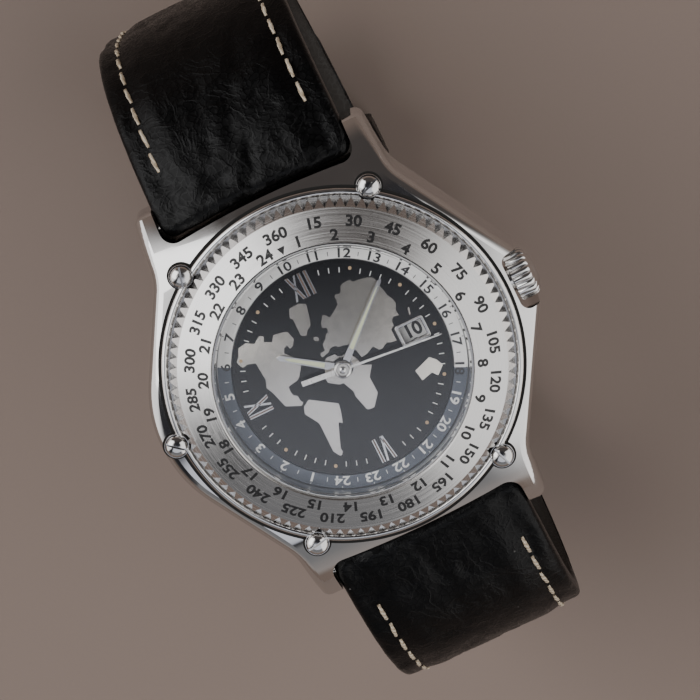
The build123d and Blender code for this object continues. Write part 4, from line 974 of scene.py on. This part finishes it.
def makeLeather(name, colour, scale, low, high, bump, depth, coat):
    # creases that shine more than the pebbles, worn edges and a little dust
    material, tree, shader = newMaterial(name)
    settings = leatherWear
    grain = placeGroup(tree, pebbleGrain, Scale=scale)
    wearAndHighlight = placeGroup(tree, edgeWearAndHighlight, Spread=settings["wornSpread"])["Mask"]
    dust = placeGroup(tree, dustSpecks, Scale=settings["dustScale"], Reach=settings["dustReach"])["Mask"]
    wornColour = tuple(settings["wornGain"] * part + settings["wornLift"] for part in colour)
    worn = mixColour(tree, wearAndHighlight, colour, wornColour)
    fill(tree, shader, {
        "Base Color": mixColour(tree, dust, worn, settings["dustColour"]),
        "Roughness": rangeNode(tree, grain["Crease"], 0, 1, high, low),
        "Coat Weight": rangeNode(tree, grain["Crease"], 0, 1, coat * settings["pebbleCoat"], coat),
        "Coat Roughness": settings["coatRoughness"],
        "Specular IOR Level": settings["shine"],
        "Normal": bumpNode(tree, grain["Height"], bump, depth),
    })
    return material


def makeThread():
    # two plies twisted into a waxed beige thread
    material, tree, shader = newMaterial("strapThread")
    ply = addNode(tree, "ShaderNodeTexWave", wave_type="BANDS", bands_direction="DIAGONAL")
    fill(tree, ply, {"Vector": ownPlace(tree), "Scale": thread["plyScale"],
                     "Distortion": thread["plyWander"]})
    twist = ply.outputs["Fac"]
    fill(tree, shader, {
        "Base Color": mixColour(tree, twist, thread["dark"], thread["light"]),
        "Roughness": rangeNode(tree, twist, 0, 1, *thread["roughness"]),
        "Normal": bumpNode(tree, twist, thread["bump"], thread["depth"]),
    })
    return material


print("leather")
finishes["strapLeather"] = makeLeather("strapLeather", (0.0014, 0.0014, 0.0016), 1500.0, 0.22, 0.36,
                                       0.34, 0.07 * mm, 0.03)
finishes["liningLeather"] = makeLeather("liningLeather", (0.030, 0.026, 0.023), 1700.0, 0.5, 0.7,
                                        0.35, 0.1 * mm, 0.1)
finishes["strapThread"] = makeThread()

strap = {
    "barReach": 18.9,
    "barHeight": 3.3,
    "lugThickness": 4.6,
    "startAngle": 18.0,
    "upperRadius": 15.8,
    "lowerRadius": 19.8,
    "wideHalf": 9.9,
    "narrowHalf": 9.0,
    "wideHeight": 3.0,
    "narrowHeight": -39.0,
    "wallReach": 17.75,
    "wallSagitta": 0.55,
    "wallGap": 0.15,
    "cornerRadius": 1.5,
    "endRounding": 1.2,
    "liningThickness": 0.5,
    "liningInset": 0.12,
    "liningGap": 0.02,
    "gutter": 2.2,
    "padStart": 0.8,
    "padRise": 2.6,
    "edgeRound": 0.75,
    "swellScale": 0.42,
    "capAngles": (25, 45, 62, 76, 86),
}
stitches = {
    "pitch": 2.68,
    "length": 2.1,
    "radius": 0.2,
    "sides": 8,
    "rings": 9,
    "slant": 0.05,
    "twist": 4.2,
}


def halfWidth(height):
    share = (strap["wideHeight"] - height) / (strap["wideHeight"] - strap["narrowHeight"])
    return strap["wideHalf"] + share * (strap["narrowHalf"] - strap["wideHalf"])


def wallLine(x):
    # how far out the strap's end starts at this place across the strap
    reach = strap["wallReach"] - strap["wallSagitta"] * (x / 10) ** 2 + strap["wallGap"]
    over = abs(x) - (strap["wideHalf"] - strap["cornerRadius"])
    if over > 0:
        radius = strap["cornerRadius"]
        reach += radius - math.sqrt(max(0.0, radius * radius - over * over))
    return reach


def arcPoints(centre, radius, start, end, count):
    points = []
    for step in range(1, count + 1):
        angle = math.radians(start + (end - start) * step / count)
        points.append((centre[0] + radius * math.cos(angle), centre[1] + radius * math.sin(angle)))
    return points


def runPoints(start, end, count):
    return [
        (start[0] + (end[0] - start[0]) * step / count, start[1] + (end[1] - start[1]) * step / count)
        for step in range(1, count + 1)
    ]


def sideOutline(settings, offset, raised=0.0):
    # one side of the strap seen from its edge: down from the lug, round, and on to its foot
    down = (math.cos(math.radians(strap["startAngle"])), -math.sin(math.radians(strap["startAngle"])))
    out = (-down[1], down[0])
    inward = strap["lugThickness"] / 2 + strap["upperRadius"]
    centre = (
        strap["barReach"] + settings["run"] * down[0] - inward * out[0],
        strap["barHeight"] + settings["run"] * down[1] - inward * out[1],
    )
    upperCentre = (centre[0], centre[1] + raised / out[1])
    radius = strap["upperRadius"] + offset
    lowCentre = (centre[0] + strap["upperRadius"] - strap["lowerRadius"],
                 strap["lowerRadius"] - settings["depth"])
    lowRadius = strap["lowerRadius"] + offset
    points = [(upperCentre[0] + radius * out[0], upperCentre[1] + radius * out[1])]
    points += arcPoints(upperCentre, radius, 90 - strap["startAngle"], 0, 26)
    points += runPoints(points[-1], (lowCentre[0] + lowRadius, lowCentre[1]), 6)
    points += arcPoints(lowCentre, lowRadius, 0, -90, 30)
    return points + runPoints(points[-1], (settings["liningEnd"], points[-1][1]), 14)


def crossStations(count, half):
    # places across the strap, closer together at its rounded edges
    edge = strap["edgeRound"]
    places = [-half + edge * share for share in (0, 0.06, 0.22, 0.5, 1.0)]
    inside = half - edge
    places += [-inside + 2 * inside * step / count for step in range(1, count)]
    return places + [-place for place in reversed(places[:5])]


def crownDrop(x, half, drop):
    # the padded middle stands above the stitched margin
    return drop * (1 - smooth((half - abs(x) - strap["gutter"] * strap["padStart"]) / strap["padRise"]))


def edgeShrink(fromEdge, radius):
    if fromEdge >= radius:
        return 0.0
    return radius - math.sqrt(max(0.0, radius * radius - (radius - fromEdge) ** 2))


def relief(point, depth):
    # slow swells and creases that soft leather keeps
    place = Vector([part * strap["swellScale"] for part in point])
    swell = noise.noise(place) + 0.6 * noise.noise(place * 2.7)
    crease = abs(noise.noise(place * 1.3 + Vector((7, 3, 1))))
    return depth * (swell - 0.5 * (1 - min(1.0, crease * 6)))


def stripShape(side, rows, drop=0.0, swelling=0.0, count=40, inset=0.0, tip=None):
    # a band of leather from rows of matching outer and inner points, seen from its edge
    downSlope = -math.tan(math.radians(strap["startAngle"]))
    outerPoints, innerPoints = [], []
    for outer, inner, wallShare, shrink in rows:
        middle = ((outer[0] + inner[0]) / 2, (outer[1] + inner[1]) / 2)
        half = halfWidth(middle[1]) - inset
        if tip is not None:
            half = min(half, tip(-middle[0]))
        edge = min(strap["edgeRound"], half * 0.9)
        thick = math.hypot(outer[0] - inner[0], outer[1] - inner[1])
        normal = ((outer[0] - inner[0]) / thick, (outer[1] - inner[1]) / thick)
        narrow = half < 2 * strap["edgeRound"]
        for station in crossStations(count, 1.0 if narrow else half):
            x = station * half if narrow else station
            away = wallShare * (wallLine(x) - wallLine(0))
            pull = min(min(thick * 0.44, edgeShrink(half - abs(x), edge)) + shrink, thick * 0.49)
            lower = crownDrop(x, half, min(drop, thick * 0.3))
            swell = relief((x, side * outer[0], outer[1]), swelling) if swelling else 0.0
            top = -pull - lower + min(0.0, swell) * (1 - smooth(-swell / 5)) + 0.4 * swell
            top = min(top, 0.0)
            low = min(pull, thick + top - 0.05)
            for points, base, shift in ((outerPoints, outer, top), (innerPoints, inner, low)):
                points.append(Vector((x, side * (base[0] + away + normal[0] * shift),
                                      base[1] + away * downSlope + normal[1] * shift)) * mm)
    innerStart = len(outerPoints)
    lines = len(rows)
    columns = innerStart // lines
    faces = []
    for line in range(lines - 1):
        for column in range(columns - 1):
            first = line * columns + column
            faces.append((first, first + 1, first + columns + 1, first + columns))
            first += innerStart
            faces.append((first, first + columns, first + columns + 1, first + 1))
    rims = [(line * columns + column, columns) for line in range(lines - 1) for column in (0, columns - 1)]
    rims += [(line * columns + column, 1) for line in (0, lines - 1) for column in range(columns - 1)]
    for first, step in rims:
        faces.append((first, first + step, innerStart + first + step, innerStart + first))
    return outerPoints + innerPoints, faces


def lugRows(outerStart, innerStart, lining):
    # the straight part beside the lugs, rounded over where it meets the case
    slope = -math.tan(math.radians(strap["startAngle"]))
    start = wallLine(0)
    rounding = strap["endRounding"]
    length = min(outerStart[0], innerStart[0]) - start
    distances = [rounding * share for share in (0, 0.05, 0.17, 0.35, 0.6, 0.85, 1.0)]
    distances += [rounding + (length - rounding) * step / 7 for step in range(1, 7)]
    rows = []
    for distance in distances:
        share = distance / length
        outerReach = start + (outerStart[0] - start) * share
        innerReach = start + (innerStart[0] - start) * share
        outer = (outerReach, outerStart[1] + (outerReach - outerStart[0]) * slope)
        inner = (innerReach, innerStart[1] + (innerReach - innerStart[0]) * slope)
        if lining and innerReach > strap["barReach"]:
            inner = (inner[0], inner[1] + strap["liningThickness"])
        rows.append((outer, inner, 1 - share, edgeShrink(distance, rounding)))
    return rows


def capRows(outer, inner, radius):
    # a rounded free end, in the strap's own side view
    rows = []
    for angle in strap["capAngles"]:
        turn = math.radians(angle)
        step = radius * math.sin(turn)
        rows.append(((outer[0] - step, outer[1]), (inner[0] - step, inner[1]),
                     0.0, radius * (1 - math.cos(turn))))
    return rows


def stitchRow(rows, side, across, settings):
    # a row of stitches laid on the strap, each sunk at both ends
    path = []
    for outer, inner in (row[:2] for row in rows):
        thick = math.hypot(outer[0] - inner[0], outer[1] - inner[1])
        normal = Vector((0, (outer[0] - inner[0]) / thick, (outer[1] - inner[1]) / thick))
        half = halfWidth(outer[1])
        aside = half - strap["gutter"]
        point = Vector((across * aside, outer[0], outer[1]))
        path.append((point - normal * crownDrop(aside, half, min(settings["drop"], thick * 0.3)), normal))
    lengths = [0.0]
    for before, after in zip(path, path[1:]):
        lengths.append(lengths[-1] + (after[0] - before[0]).length)

    def at(distance):
        index = 0
        while index < len(lengths) - 2 and lengths[index + 1] < distance:
            index += 1
        share = (distance - lengths[index]) / max(1e-6, lengths[index + 1] - lengths[index])
        (point, normal), (nextPoint, nextNormal) = path[index:index + 2]
        return point.lerp(nextPoint, share), normal.lerp(nextNormal, share).normalized()

    length, radius, sides, rings = (stitches[name] for name in ("length", "radius", "sides", "rings"))
    caps = [tuple(range(sides)), tuple(range((rings - 1) * sides, rings * sides))]
    parts = []
    place = next(value for value, (point, normal) in zip(lengths, path)
                 if point.y >= settings["stitchFirst"] and value > 3)
    while place + length < lengths[-1] - settings["stitchLast"]:
        lean = random.uniform(-stitches["slant"], stitches["slant"]) + stitches["slant"] * across
        points = []
        for ring in range(rings):
            share = ring / (rings - 1)
            point, normal = at(place + share * length)
            tangent = (at(place + share * length + 0.1)[0] - point).normalized()
            sideways = tangent.cross(normal).normalized()
            bulge = math.sin(math.pi * (0.06 + 0.88 * share))
            size = radius * (0.45 + 0.55 * bulge ** 0.5)
            leant = sideways * lean * (share - 0.5) * length
            centre = point + normal * (radius * (1.15 * bulge - 0.5)) + leant
            for step in range(sides):
                turn = 2 * math.pi * step / sides + stitches["twist"] * share
                ply = 1 + 0.14 * math.cos(2 * (turn - 6.5 * share))
                spot = centre + (sideways * math.cos(turn) + normal * math.sin(turn)) * size * ply
                points.append(Vector((spot.x, side * spot.y, spot.z)) * mm)
        parts.append((points, bandFaces(rings, sides) + caps))
        place += stitches["pitch"]
    return parts


def strapRows(settings, footRows):
    # the leather from the case to its foot, and the two sides of its lining
    thickness = settings["thickness"]
    outer = sideOutline(settings, thickness, strap["lugThickness"] - thickness)
    lined = sideOutline(settings, strap["liningThickness"] + strap["liningGap"])
    bare = sideOutline(settings, 0.0)
    # the first rows start from the bare inner side
    rows = [
        bareRow if bareRow[1][0] <= strap["barReach"] else linedRow
        for bareRow, linedRow in zip(lugRows(outer[0], bare[0], False), lugRows(outer[0], lined[0], True))
    ]
    rows += [(outerPoint, innerPoint, 0.0, 0.0) for outerPoint, innerPoint in zip(outer, lined)]
    return rows + footRows, lined, bare


def buildStrapPiece(settings, side, footRows, cutters, tip=None):
    name, node = settings["name"], settings["node"]
    rows, lined, bare = strapRows(settings, footRows)
    leather = stripShape(side, rows, settings["drop"], settings["swelling"], tip=tip)
    piece = makePiece(name + "_leather", leather, "case", "strapLeather", "strap_leather",
                      smoothed=True, outward=True, instead=node)
    carve(piece, cutters)
    liningRows = [(outer, inner, 0.0, 0.0) for outer, inner in zip(lined, bare)]
    lining = stripShape(side, liningRows, count=24, inset=strap["liningInset"])
    makePiece(name + "_lining", lining, "case", "liningLeather", "lining_leather",
              smoothed=True, outward=True, instead=node + "_lining")
    parts = [stitch for across in (-1, 1) for stitch in stitchRow(rows, side, across, settings)]
    makePiece(name + "_stitches", gather(parts), "case", "strapThread", "strap_leather", smoothed=True)


print("short strap piece")
shortStrap = {
    "name": "strap_short",
    "node": "strap_12",
    "run": 3.3,
    "depth": 37.7,
    "thickness": 2.4,
    "drop": 0.5,
    "swelling": 0.16,
    "liningEnd": 0.5,
    "foot": (0.42, -0.4, -1.2, -2.1, -3.0),
    "slotHalf": 1.1,
    "slotEnds": (-6.0, 0.4),
    "cut": (-44, -35),
    "stitchFirst": 23.6,
    "stitchLast": 9.0,
}


def buildShortStrap():
    # its foot runs on a little and ends rounded, with a slot for the prong
    settings = shortStrap
    low = -settings["depth"]
    outerLow = low - settings["thickness"]
    foot = [((reach, outerLow), (reach, low), 0.0, 0.0) for reach in settings["foot"]]
    end = settings["foot"][-1]
    foot += capRows((end, outerLow), (end, low), settings["thickness"] / 2)
    half, (back, front) = settings["slotHalf"], settings["slotEnds"]
    slot = prismShape([(-half, back), (half, back), (half, front), (-half, front)], *settings["cut"])
    buildStrapPiece(settings, 1, foot, [slot])


buildShortStrap()

print("long strap piece")
longStrap = {
    "name": "strap_long",
    "node": "strap_6",
    "run": 5.3,
    "depth": 38.85,
    "thickness": 2.1,
    "drop": 0.4,
    "swelling": 0.14,
    "liningEnd": 11.5,
    "stepStart": 11.5,
    "stepEnd": 4.9,
    "stepDrop": 1.45,
    "tailCurve": -12.45,
    "tailCurveHeight": -17.9,
    "tailSweep": 38,
    "tailThin": (0.88, 0.92, 0.95, 0.972, 0.985),
    "holes": (14, 1, -5.5, -12),
    "holeRadius": 1.0,
    "prongHole": 6.8,
    "prongHoleHalf": 1.5,
    "cut": (-46, -30),
    "tipReach": 27.5,
    "tipLength": 7.0,
    "stitchFirst": 23.3,
    "stitchLast": 10.0,
}


def tipHalf(reach):
    # half the width of the rounded tail at this reach past the hands' axis
    settings = longStrap
    chord = strap["wideHalf"] + 1
    radius = (chord ** 2 + settings["tipLength"] ** 2) / (2 * settings["tipLength"])
    centre = settings["tipReach"] - radius
    if reach < centre:
        return radius
    return math.sqrt(max(0.3, radius * radius - (reach - centre) ** 2))


def buildLongStrap():
    # it steps down onto the buckle, runs on below the short piece and curves up in a rounded tail
    settings = longStrap
    low, thickness = -settings["depth"], settings["thickness"]
    tailTop = low - settings["stepDrop"]
    foot = []
    for step in range(1, 11):
        share = step / 10
        reach = settings["stepStart"] + (settings["stepEnd"] - settings["stepStart"]) * share
        height = low - settings["stepDrop"] * smooth(share)
        foot.append(((reach, height - thickness), (reach, height), 0.0, 0.0))
    for step in range(1, 13):
        reach = settings["stepEnd"] + (settings["tailCurve"] - settings["stepEnd"]) * step / 12
        foot.append(((reach, tailTop - thickness), (reach, tailTop), 0.0, 0.0))
    innerRadius = settings["tailCurveHeight"] - tailTop
    for share in [step / 12 for step in range(1, 11)] + list(settings["tailThin"]):
        turn = math.radians(-90 - settings["tailSweep"] * share)
        outer, inner = (
            (settings["tailCurve"] + radius * math.cos(turn),
             settings["tailCurveHeight"] + radius * math.sin(turn))
            for radius in (innerRadius + thickness, innerRadius)
        )
        foot.append((outer, inner, 0.0, 0.5 * edgeShrink((1 - share) * 12, 1.0)))
    radius = settings["holeRadius"]
    openings = [roundOutline((0, -hole), radius) for hole in settings["holes"]]
    openings.append(roundOutline((0, -settings["prongHole"]), radius, settings["prongHoleHalf"]))
    cutters = [prismShape(outline, *settings["cut"]) for outline in openings]
    buildStrapPiece(settings, -1, foot, cutters, tipHalf)


buildLongStrap()

print("keepers")
keepers = {
    "half": 9.3,
    "low": -42.55,
    "high": -37.55,
    "wall": 0.95,
    "width": 4.5,
    "innerCorner": 0.35,
    "edgeRound": 0.35,
    "chamfer": 0.12,
    "crown": 0.12,
    "swelling": 0.05,
    "loops": (
        ("fixed_keeper_leather", "fixed_keeper", "case", 0.5),
        ("free_keeper_leather", "free_keeper", "free_keeper", 7.9),
    ),
}


def loopPath(half, low, high, corner, count=8):
    # a rounded rectangle, each point with the direction that faces outward
    path = []
    centres = ((half - corner, high - corner, 0), (-half + corner, high - corner, 90),
               (-half + corner, low + corner, 180), (half - corner, low + corner, 270))
    for (x, z, start), (nextX, nextZ, nextStart) in zip(centres, centres[1:] + centres[:1]):
        for step in range(count + 1):
            turn = math.radians(start + 90 * step / count)
            outX, outZ = math.cos(turn), math.sin(turn)
            path.append((x + corner * outX, z + corner * outZ, outX, outZ))
        lastX, lastZ = path[-1][:2]
        turn = math.radians(nextStart)
        gapX, gapZ = nextX + corner * math.cos(turn) - lastX, nextZ + corner * math.sin(turn) - lastZ
        pieces = 14 if abs(gapX) > abs(gapZ) else 5
        path += [(lastX + gapX * step / pieces, lastZ + gapZ * step / pieces, outX, outZ)
                 for step in range(1, pieces)]
    return path


def keeperProfile():
    # across the loop's wall: rounded outside, chamfered inside
    half = keepers["width"] / 2
    edge, wall, chamfer = keepers["edgeRound"], keepers["wall"], keepers["chamfer"]
    corners = [
        (sign * (half - edge) + edge * math.cos(math.radians(start - 22.5 * step)),
         wall - edge + edge * math.sin(math.radians(start - 22.5 * step)))
        for sign, start in ((-1, 180), (1, 90)) for step in range(5)
    ]
    middle = [(-half + edge + (2 * half - 2 * edge) * step / 8, wall) for step in range(1, 8)]
    inside = [(half, chamfer), (half - chamfer, 0.0), (-half + chamfer, 0.0), (-half, chamfer)]
    return corners[:5] + middle + corners[5:] + inside


def buildKeepers():
    settings = keepers
    half, wall = settings["width"] / 2, settings["wall"]
    profile = keeperProfile()
    path = loopPath(settings["half"], settings["low"], settings["high"], settings["innerCorner"])
    for name, node, body, start in settings["loops"]:
        centre = start + half
        points = []
        for x, z, outX, outZ in path:
            for along, out in profile:
                if out > wall - 0.01:
                    out -= settings["crown"] * (1 - math.cos(math.pi * along / half * 0.5))
                swell = relief((x + 3 * along, centre + along, z), settings["swelling"]) if out > 0.3 else 0.0
                reach = min(out + swell, wall)
                points.append(Vector((x + outX * reach, centre + along, z + outZ * reach)) * mm)
        shape = (points, bandFaces(len(path), len(profile), closed=True))
        makePiece(name, shape, body, "strapLeather", "strap_leather",
                  smoothed=True, outward=True, instead=node)


buildKeepers()

print("case screws")
caseScrews = {
    "radius": 17.5 * mm,
    "angles": (56, 124, 180, 236, 304),
    "slotAngles": (20, 75, 140, 10, 110),
    "foot": 8.05 * mm,
    "headRadius": 1.03 * mm,
    "rimHeight": 0.16 * mm,
    "rootDepth": 0.3 * mm,
    "domeHeight": 0.64 * mm,
    "slotWidth": 0.2 * mm,
    "slotDepth": 0.36 * mm,
}
# the ring's rounded bar, its pads round the screws, and painted shade: flat black rings laid on the case top
# beside the ring and the pads and round the screw heads, where shade falls
retainingRing = {
    "bar": ((17.15, 7.6), (17.15, 7.84), (17.1, 7.95), (17.0, 8.04), (16.87, 8.09), (16.73, 8.09),
            (16.6, 8.04), (16.5, 7.95), (16.45, 7.84), (16.45, 7.6)),
    "pad": ((1.18, 7.6), (1.18, 8.02), (1.165, 8.07), (1.14, 8.1), (1.11, 8.1), (1.09, 8.07), (1.09, 7.6)),
    "gapShade": ((17.42, 7.69), (17.42, 7.712), (17.1, 7.712), (17.1, 7.69)),
    "padShade": ((1.36, 7.69), (1.36, 7.714), (1.15, 7.714), (1.15, 7.69)),
    "screwShade": ((1.1, 7.8), (1.1, 8.0), (0.95, 8.0), (0.95, 7.8)),
}


def buildRetainingRing():
    settings = retainingRing
    places = [onCircle(caseScrews["radius"], angle) for angle in caseScrews["angles"]]
    for name, finish, slot, wide, small, more in (
        ("retaining_ring_bar", "brightSteel", "case_steel", "bar", ("pad",),
         {"smoothed": True, "sharp": 50, "instead": "bezel_retaining_ring"}),
        # the second piece is painted shade, flat black rings on the case top where the light leaves a dark
        # channel
        ("retaining_ring_painted_shade", "paintedShadeBlack", "black_seal", "gapShade", ("padShade", "screwShade"), {}),
    ):
        rings = [ringShape(settings[wide], 180)]
        rings += [ringShape(settings[part], 48, place) for part in small for place in places]
        makePiece(name, gather(rings), "case", finish, slot, **more)


def buildCaseScrews():
    # domed heads with a slot, turned as far as each was tightened
    settings = caseScrews
    radius, rim, dome = settings["headRadius"], settings["rimHeight"], settings["domeHeight"]
    rings = [(radius, -settings["rootDepth"]), (radius, rim * 0.6)]
    for step in range(1, 9):
        turn = math.radians(10 * step)
        rings.append((radius * math.cos(turn) ** 0.75, rim + (dome - rim) * math.sin(turn)))
    around = 48
    points = [onCircle(reach, 360 * step / around, height)
              for reach, height in rings for step in range(around)]
    faces = bandFaces(len(rings), around)
    faces += [tuple(range(len(points) - around, len(points))), tuple(reversed(range(around)))]
    length, width = radius * 1.3 / mm, settings["slotWidth"] / 2 / mm
    outline = [(-length, -width), (length, -width), (length, width), (-length, width)]
    slot = prismShape(outline, (dome - settings["slotDepth"]) / mm, dome / mm + 0.2)
    shells = []
    for angle, slotAngle in zip(settings["angles"], settings["slotAngles"]):
        screw = newObject("screw", newMesh("screw", (points, faces)))
        carve(screw, [slot])
        place = Matrix.Translation(onCircle(settings["radius"], angle, settings["foot"]))
        turned = place @ Matrix.Rotation(math.radians(slotAngle), 4, "Z")
        shells.append(([turned @ vertex.co for vertex in screw.data.vertices],
                       [tuple(polygon.vertices) for polygon in screw.data.polygons]))
        old = screw.data
        bpy.data.objects.remove(screw)
        bpy.data.meshes.remove(old)
    makePiece("case_screw_heads", gather(shells), "case", "brightSteel", "bright_steel",
              smoothed=True, sharp=40, instead="case_screws")


buildRetainingRing()
buildCaseScrews()

print("world map")
worldMap = {
    "low": 7.95,
    "top": 8.06,
    "hole": 1.02,
    "clear": 0.1,
    "lands": (
        ((-8.71, 4.91), (-8.33, 5.30), (-7.99, 6.02), (-7.17, 6.16), (-6.45, 5.73), (-5.73, 6.21),
         (-5.35, 6.02), (-5.56, 5.51), (-4.87, 5.15), (-4.48, 5.73), (-3.47, 5.54), (-3.13, 5.35),
         (-2.91, 4.53), (-3.28, 3.95), (-3.66, 3.83), (-3.76, 4.24), (-4.10, 4.14), (-4.34, 3.66),
         (-4.0, 3.3), (-3.3, 2.3), (-3.47, 1.84), (-4.05, 1.02), (-4.38, 0.78), (-5.39, 0.59),
         (-5.44, 0.01), (-5.35, -0.37), (-5.03, -0.57), (-4.99, -1.14), (-4.82, -1.38), (-5.11, -1.62),
         (-6.5, -1.0), (-6.98, 0.68), (-7.32, 1.40), (-7.03, 2.13), (-7.17, 4.0), (-7.94, 4.24),
         (-8.42, 4.10), (-8.66, 4.53)),
        ((-4.24, -1.38), (-1.88, -2.95), (-2.01, -3.74), (-2.37, -4.85), (-2.59, -4.65), (-2.72, -4.65),
         (-3.04, -5.47), (-3.62, -6.96), (-3.57, -7.35), (-3.81, -7.63), (-4.0, -7.59), (-4.38, -6.96),
         (-4.36, -3.93), (-4.53, -3.6), (-5.2, -2.49), (-4.96, -1.82), (-4.43, -1.48)),
        ((-1.2, 1.35), (-0.95, 1.52), (-0.1, 1.5), (0.05, 1.2), (0.4, 1.05), (0.75, 1.12), (1.2, 0.82),
         (1.35, 0.6), (1.6, 0.1), (1.72, -0.57), (2.59, -0.95), (1.87, -1.96), (1.91, -3.64),
         (1.0, -4.78), (0.52, -4.75), (0.28, -4.65), (-0.15, -2.97), (-0.06, -2.59), (-0.59, -1.38),
         (-0.97, -1.36), (-1.88, -0.71), (-1.93, -0.33), (-1.6, 0.6)),
        ((-2.03, 7.32), (-1.02, 7.41), (-0.39, 7.03), (-0.59, 6.07), (-0.78, 5.39), (-0.92, 5.0),
         (-1.4, 4.72), (-1.69, 4.29), (-2.08, 4.43), (-2.17, 4.62), (-2.14, 6.26), (-2.37, 6.45)),
        ((-1.16, 3.86), (-0.88, 3.76), (-0.75, 3.52), (-0.92, 3.3), (-1.16, 3.42), (-1.26, 3.66)),
        ((0.04, 4.72), (0.5, 5.39), (0.81, 5.25), (1.03, 4.87), (1.63, 5.25), (2.25, 5.68), (2.35, 6.55),
         (2.49, 6.66), (2.83, 6.55), (3.07, 6.69), (3.26, 7.17), (3.64, 7.32), (4.34, 7.34), (4.46, 7.03),
         (5.3, 6.95), (5.76, 6.84), (6.3, 6.6), (6.6, 6.1), (6.55, 5.6), (6.74, 5.01), (6.82, 4.43),
         (7.15, 3.86), (7.2, 3.38), (6.91, 2.8), (6.96, 2.22), (6.43, 2.32), (6.14, 2.03), (6.1, 1.55),
         (5.71, 1.3), (5.71, 0.11), (5.09, 0.2), (4.85, 0.35), (4.46, 0.2), (4.22, 0.01), (3.84, 0.06),
         (3.45, 0.59), (2.68, 0.2), (2.06, 0.11), (1.87, 0.97), (1.6, 1.3), (1.53, 1.74), (0.95, 1.93),
         (0.57, 1.93), (0.33, 2.17), (-0.01, 2.27), (-0.35, 2.13), (-0.49, 1.93), (-1.26, 1.74),
         (-1.34, 1.93), (-1.26, 2.17), (-0.78, 2.22), (-0.73, 2.8), (-0.2, 3.28), (0.04, 3.66),
         (0.28, 3.66), (0.36, 4.1), (0.18, 4.19), (-0.06, 4.29)),
        ((7.85, 1.8), (8.0, 1.85), (8.16, 2.5), (8.02, 2.5)),
        ((6.0, -3.31), (7.76, -2.69), (8.28, -3.21), (8.59, -3.93), (7.76, -4.66), (7.35, -4.14),
         (6.21, -4.45)),
    ),
}


def buildWorldMap():
    # thin plates with the lands' coasts, let into the dial
    settings = worldMap
    low, top, clear = settings["low"], settings["top"], settings["clear"]
    plates = makePiece("world_map_plates", gather([prismShape(land, low, top) for land in settings["lands"]]),
                       "case", "mapSilver", "map_silver", instead="world_map")
    carve(plates, [prismShape(roundOutline((0, 0), settings["hole"]), low - clear, top + clear)])


buildWorldMap()

print("hand boss")
handBoss = {
    "rim": ((0.82, -0.1), (0.82, 0.05), (0.77, 0.1), (0.68, 0.1), (0.6, 0.03), (0.55, -0.1)),
    "dome": ((0.36, -0.1), (0.36, 0.03), (0.31, 0.1), (0.2, 0.14), (0.06, 0.15), (0.03, -0.1)),
}


def buildHandBoss():
    # a turned boss and a small dome over the middle of the seconds hand
    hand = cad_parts["seconds_hand"]
    top = max((hand.matrix_world @ Vector(corner)).z for corner in hand.bound_box) / mm
    shells = [ringShape([(radius, top + height) for radius, height in profile], 48)
              for profile in (handBoss["rim"], handBoss["dome"])]
    makePiece("hand_boss", gather(shells), "seconds", "brightSteel", "hand_steel", smoothed=True, sharp=50)


buildHandBoss()

print("crown")
crownKnob = {
    "height": 4.9 * mm,
    # place along the stem, reach from it, and how deep the grooves are there
    "profile": (
        (17.93, 1.5, 0), (17.93, 2.28, 0.1), (18.02, 2.42, 0.3), (19.5, 2.42, 0.3), (19.68, 2.37, 0.26),
        (19.84, 2.24, 0.18), (19.96, 2.02, 0.08), (20.03, 1.8, 0.02), (20.06, 1.55, 0), (20.16, 1.47, 0),
        (20.27, 1.25, 0), (20.34, 0.85, 0), (20.38, 0.4, 0),
    ),
    "bore": ((17.93, 1.5, 0), (19.2, 1.5, 0), (19.2, 0.48, 0), (19.95, 0.48, 0)),
    "ribs": 20,
    "perRib": 10,
    "fullness": 0.55,
}


def buildCrown():
    # rounded ribs with sharp grooves between them, and a domed end
    settings = crownKnob
    count = settings["ribs"] * settings["perRib"]
    points, faces = [], []
    for rows, inward in ((settings["profile"], False), (settings["bore"], True)):
        start = len(points)
        for along, reach, depth in rows:
            for step in range(count):
                turn = 2 * math.pi * step / count
                lobe = abs(math.cos(settings["ribs"] * turn / 2)) ** settings["fullness"]
                out = (reach - depth * (1 - lobe)) * mm
                aside, up = out * math.cos(turn), out * math.sin(turn)
                points.append(Vector((along * mm, aside, settings["height"] + up)))
        cap = tuple(range(len(points) - count, len(points)))
        faces += bandFaces(len(rows), count, start=start, inward=inward)
        faces.append(tuple(reversed(cap)) if inward else cap)
    makePiece("crown_knob", (points, faces), "crown", "crownSteel", "case_steel",
              smoothed=True, sharp=45, instead="crown")


buildCrown()

print("closing")
